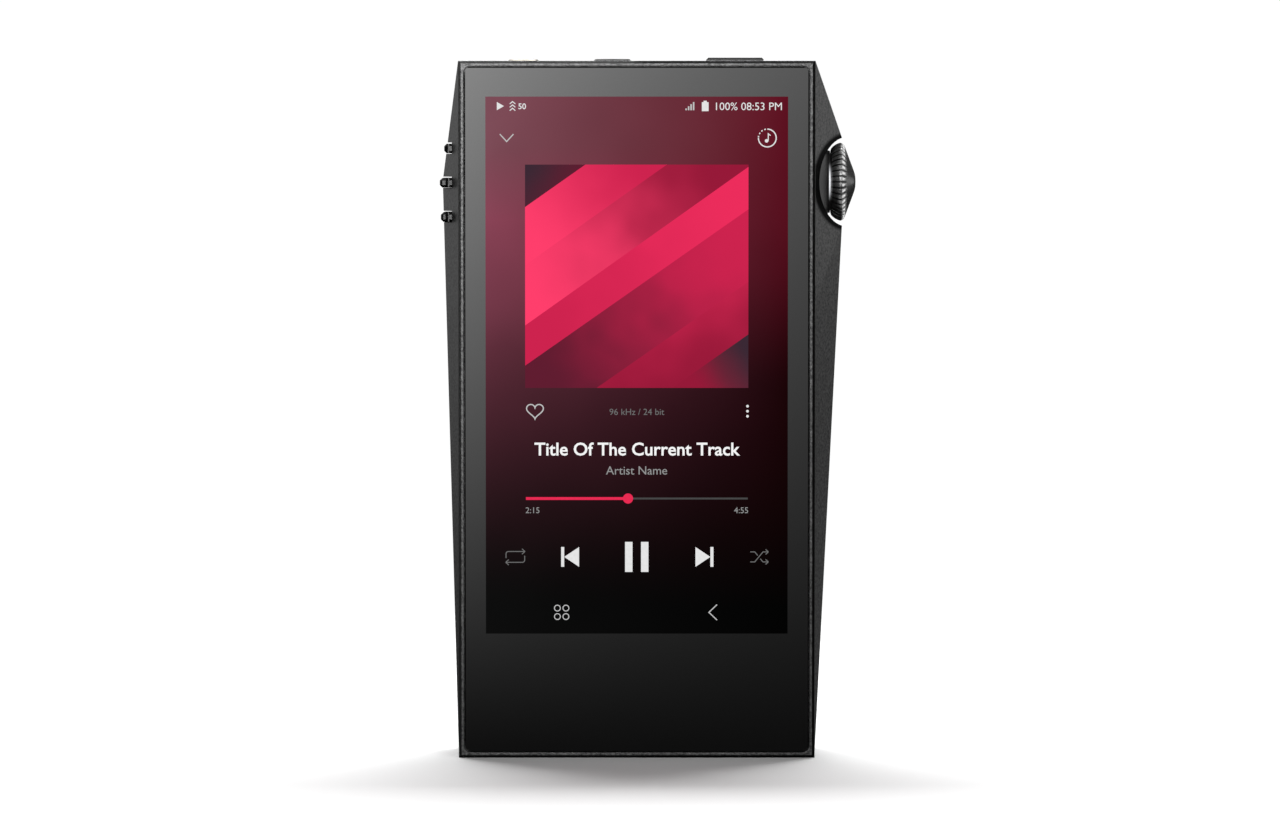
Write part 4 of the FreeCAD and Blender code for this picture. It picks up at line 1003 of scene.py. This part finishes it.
def add_front_card():
    """The soft light that the glass mirrors: bright at the upper left, dark at the foot."""
    half_width, depth, low, high = 0.13, -0.26, -0.12, 0.24
    full_brightness, least_brightness = 3.825, 0.07

    def brightness(finish):
        across = finish.axis("X")
        rise = {"Value": finish.axis("Z"), "From Min": -0.03, "From Max": 0.125}
        height = finish.add("ShaderNodeMapRange", rise, clamp=False).outputs["Result"]
        shine = finish.math("POWER", finish.math("MAXIMUM", height, 0.0), 1.6)
        fade = finish.math("POWER", 0.62, finish.math("DIVIDE", across, 0.036))
        strength = finish.math("MULTIPLY", finish.math("MULTIPLY", shine, fade), full_brightness)
        strength = finish.math("ADD", strength, least_brightness)
        soft_sides = finish.remap(finish.math("ABSOLUTE", across), 0.07, half_width, 1.0, 0.0, smooth=True)
        return finish.math("MULTIPLY", strength, soft_sides)

    corners = upright_corners((-half_width, depth), (half_width, depth), low, high)
    return emissive_card("front_card", corners, brightness)


def add_side_card(name, near, far, at_foot, at_top):
    """A card behind one side, for the flank to mirror, that darkens downwards."""
    low, high = -0.1, 0.3

    def brightness(finish):
        up = finish.axis("Z")
        strength = finish.remap(up, -0.02, 0.13, at_foot, at_top)
        return finish.math("MULTIPLY", strength, finish.remap(up, low, 0.0, smooth=True))

    return emissive_card(name, upright_corners(near, far, low, high), brightness)


def add_upper_card():
    """A card to the right that the facets above and below the wheel mirror."""
    low, high, fade = 0.04, 0.2, 0.07

    def brightness(finish):
        return finish.math("MULTIPLY", 1.38, finish.remap(finish.axis("Z"), low, low + fade, smooth=True))

    return emissive_card("upper_card", upright_corners((0.19, 0.1), (0.24, 0.03), low, high), brightness)


def add_stud_card():
    """A bright card beside the wheel, which its studs and the cone under it mirror."""
    x, half_width, reach = 0.1, 0.05, 95 * MM

    def brightness(finish):
        offset = finish.distance(finish.axis("Z"), wheel_z)
        return finish.math("MULTIPLY", 2.2, finish.remap(offset, 0.5 * reach, reach, 1.0, 0.0, smooth=True))

    corners = upright_corners((x, -half_width), (x, half_width), wheel_z - reach, wheel_z + reach)
    return emissive_card("wheel_card", corners, brightness)


def add_even_card(name, corners, strength):
    return emissive_card(name, corners, lambda finish: strength)


def add_wheel_cards(crown):
    """Cards that only the wheel mirrors: beside its studs, over and under its ridges, behind its cone."""
    only_on(add_stud_card(), [crown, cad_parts["wheel_pedestal"]])
    for name, level in (("ridge_card_over", 0.16), ("ridge_card_under", -0.16)):
        corners = level_corners(-0.12, 0.1, -0.2, -0.03, wheel_z + level)
        only_on(add_even_card(name, corners, 2.0), [crown])
    x, y, half = 0.164, 0.153, 8 * MM
    corners = upright_corners((x - half, y + half), (x + half, y - half), wheel_z - half, wheel_z + half)
    only_on(add_even_card("cone_card", corners, 1.0), [crown])


def area_light(name, place, target, size_x, size_y, power):
    light = bpy.data.lights.new(name, "AREA")
    light.shape = "RECTANGLE"
    light.size = size_x
    light.size_y = size_y
    light.energy = power
    lamp = bpy.data.objects.new(name, light)
    bpy.context.scene.collection.objects.link(lamp)
    lamp.location = place
    lamp.rotation_euler = (Vector(target) - Vector(place)).to_track_quat("-Z", "Y").to_euler()
    lamp.visible_camera = False


def add_world():
    """White where the camera looks past the object, and a soft sky for light and mirrors."""
    world = bpy.data.worlds.new("studio")
    world.use_nodes = True
    world.node_tree.nodes.clear()
    sky = Nodes(world.node_tree)
    direction = sky.add("ShaderNodeTexCoord").outputs["Generated"]
    up = sky.add("ShaderNodeSeparateXYZ", {0: direction}).outputs["Z"]
    levels = [(place, (level, level, level, 1.0)) for place, level in sky_levels]
    shade = sky.ramp(sky.remap(up, -1.0, 1.0), levels)
    path = sky.add("ShaderNodeLightPath").outputs
    strength = sky.between(path["Is Diffuse Ray"], mirrored_sky, diffuse_sky)
    soft = sky.add("ShaderNodeBackground", {"Color": shade, "Strength": strength}).outputs[0]
    white = sky.add("ShaderNodeBackground", {"Color": grey(255), "Strength": page_white}).outputs[0]
    both = sky.add("ShaderNodeMixShader", {0: path["Is Camera Ray"], 1: soft, 2: white}).outputs[0]
    sky.add("ShaderNodeOutputWorld", {"Surface": both})
    bpy.context.scene.world = world


def add_light(crown):
    """The world, the cards that the object mirrors, and two lamps."""
    add_world()
    keep_off(add_front_card(), [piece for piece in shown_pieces() if piece.get("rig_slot") == "lcd_cell"])
    keep_off(add_side_card("left_card", (-0.06, 0.26), (-0.26, 0.0), 0.02, 0.65), [crown])
    keep_off(add_side_card("right_card", (0.06, 0.26), (0.24, 0.07), 0.36, 0.06), [crown])
    keep_off(add_upper_card(), [crown])
    add_wheel_cards(crown)
    area_light("top_light", (0.0, 0.5, 1.0), (0, 0, 0), 1.0, 0.36, 18.3)
    area_light("wheel_light", (0.25, -0.5, 0.4), (0.03, 0, 0.09), 0.2, 0.2, 0.8)


def add_camera():
    """Looks slightly down at the front from about a metre away."""
    camera = bpy.data.cameras.new("camera")
    camera.sensor_width = camera_sensor
    camera.lens = camera_sensor * camera_distance / view_width
    viewer = bpy.data.objects.new("camera", camera)
    bpy.context.scene.collection.objects.link(viewer)
    viewer.location = (camera_x, glass_front - camera_distance, camera_height)
    target = Vector((camera_x, glass_front, aim_height))
    viewer.rotation_euler = (target - viewer.location).to_track_quat("-Z", "Y").to_euler()
    bpy.context.scene.camera = viewer


add_camera()
made_finishes = finishes()
add_finishes(made_finishes)
add_screen()
crown_piece = add_crown(made_finishes["wheel_metal"])
add_floor()
add_light(crown_piece)
bpy.context.scene.view_settings.view_transform = "Standard"
bpy.context.view_layer.update()
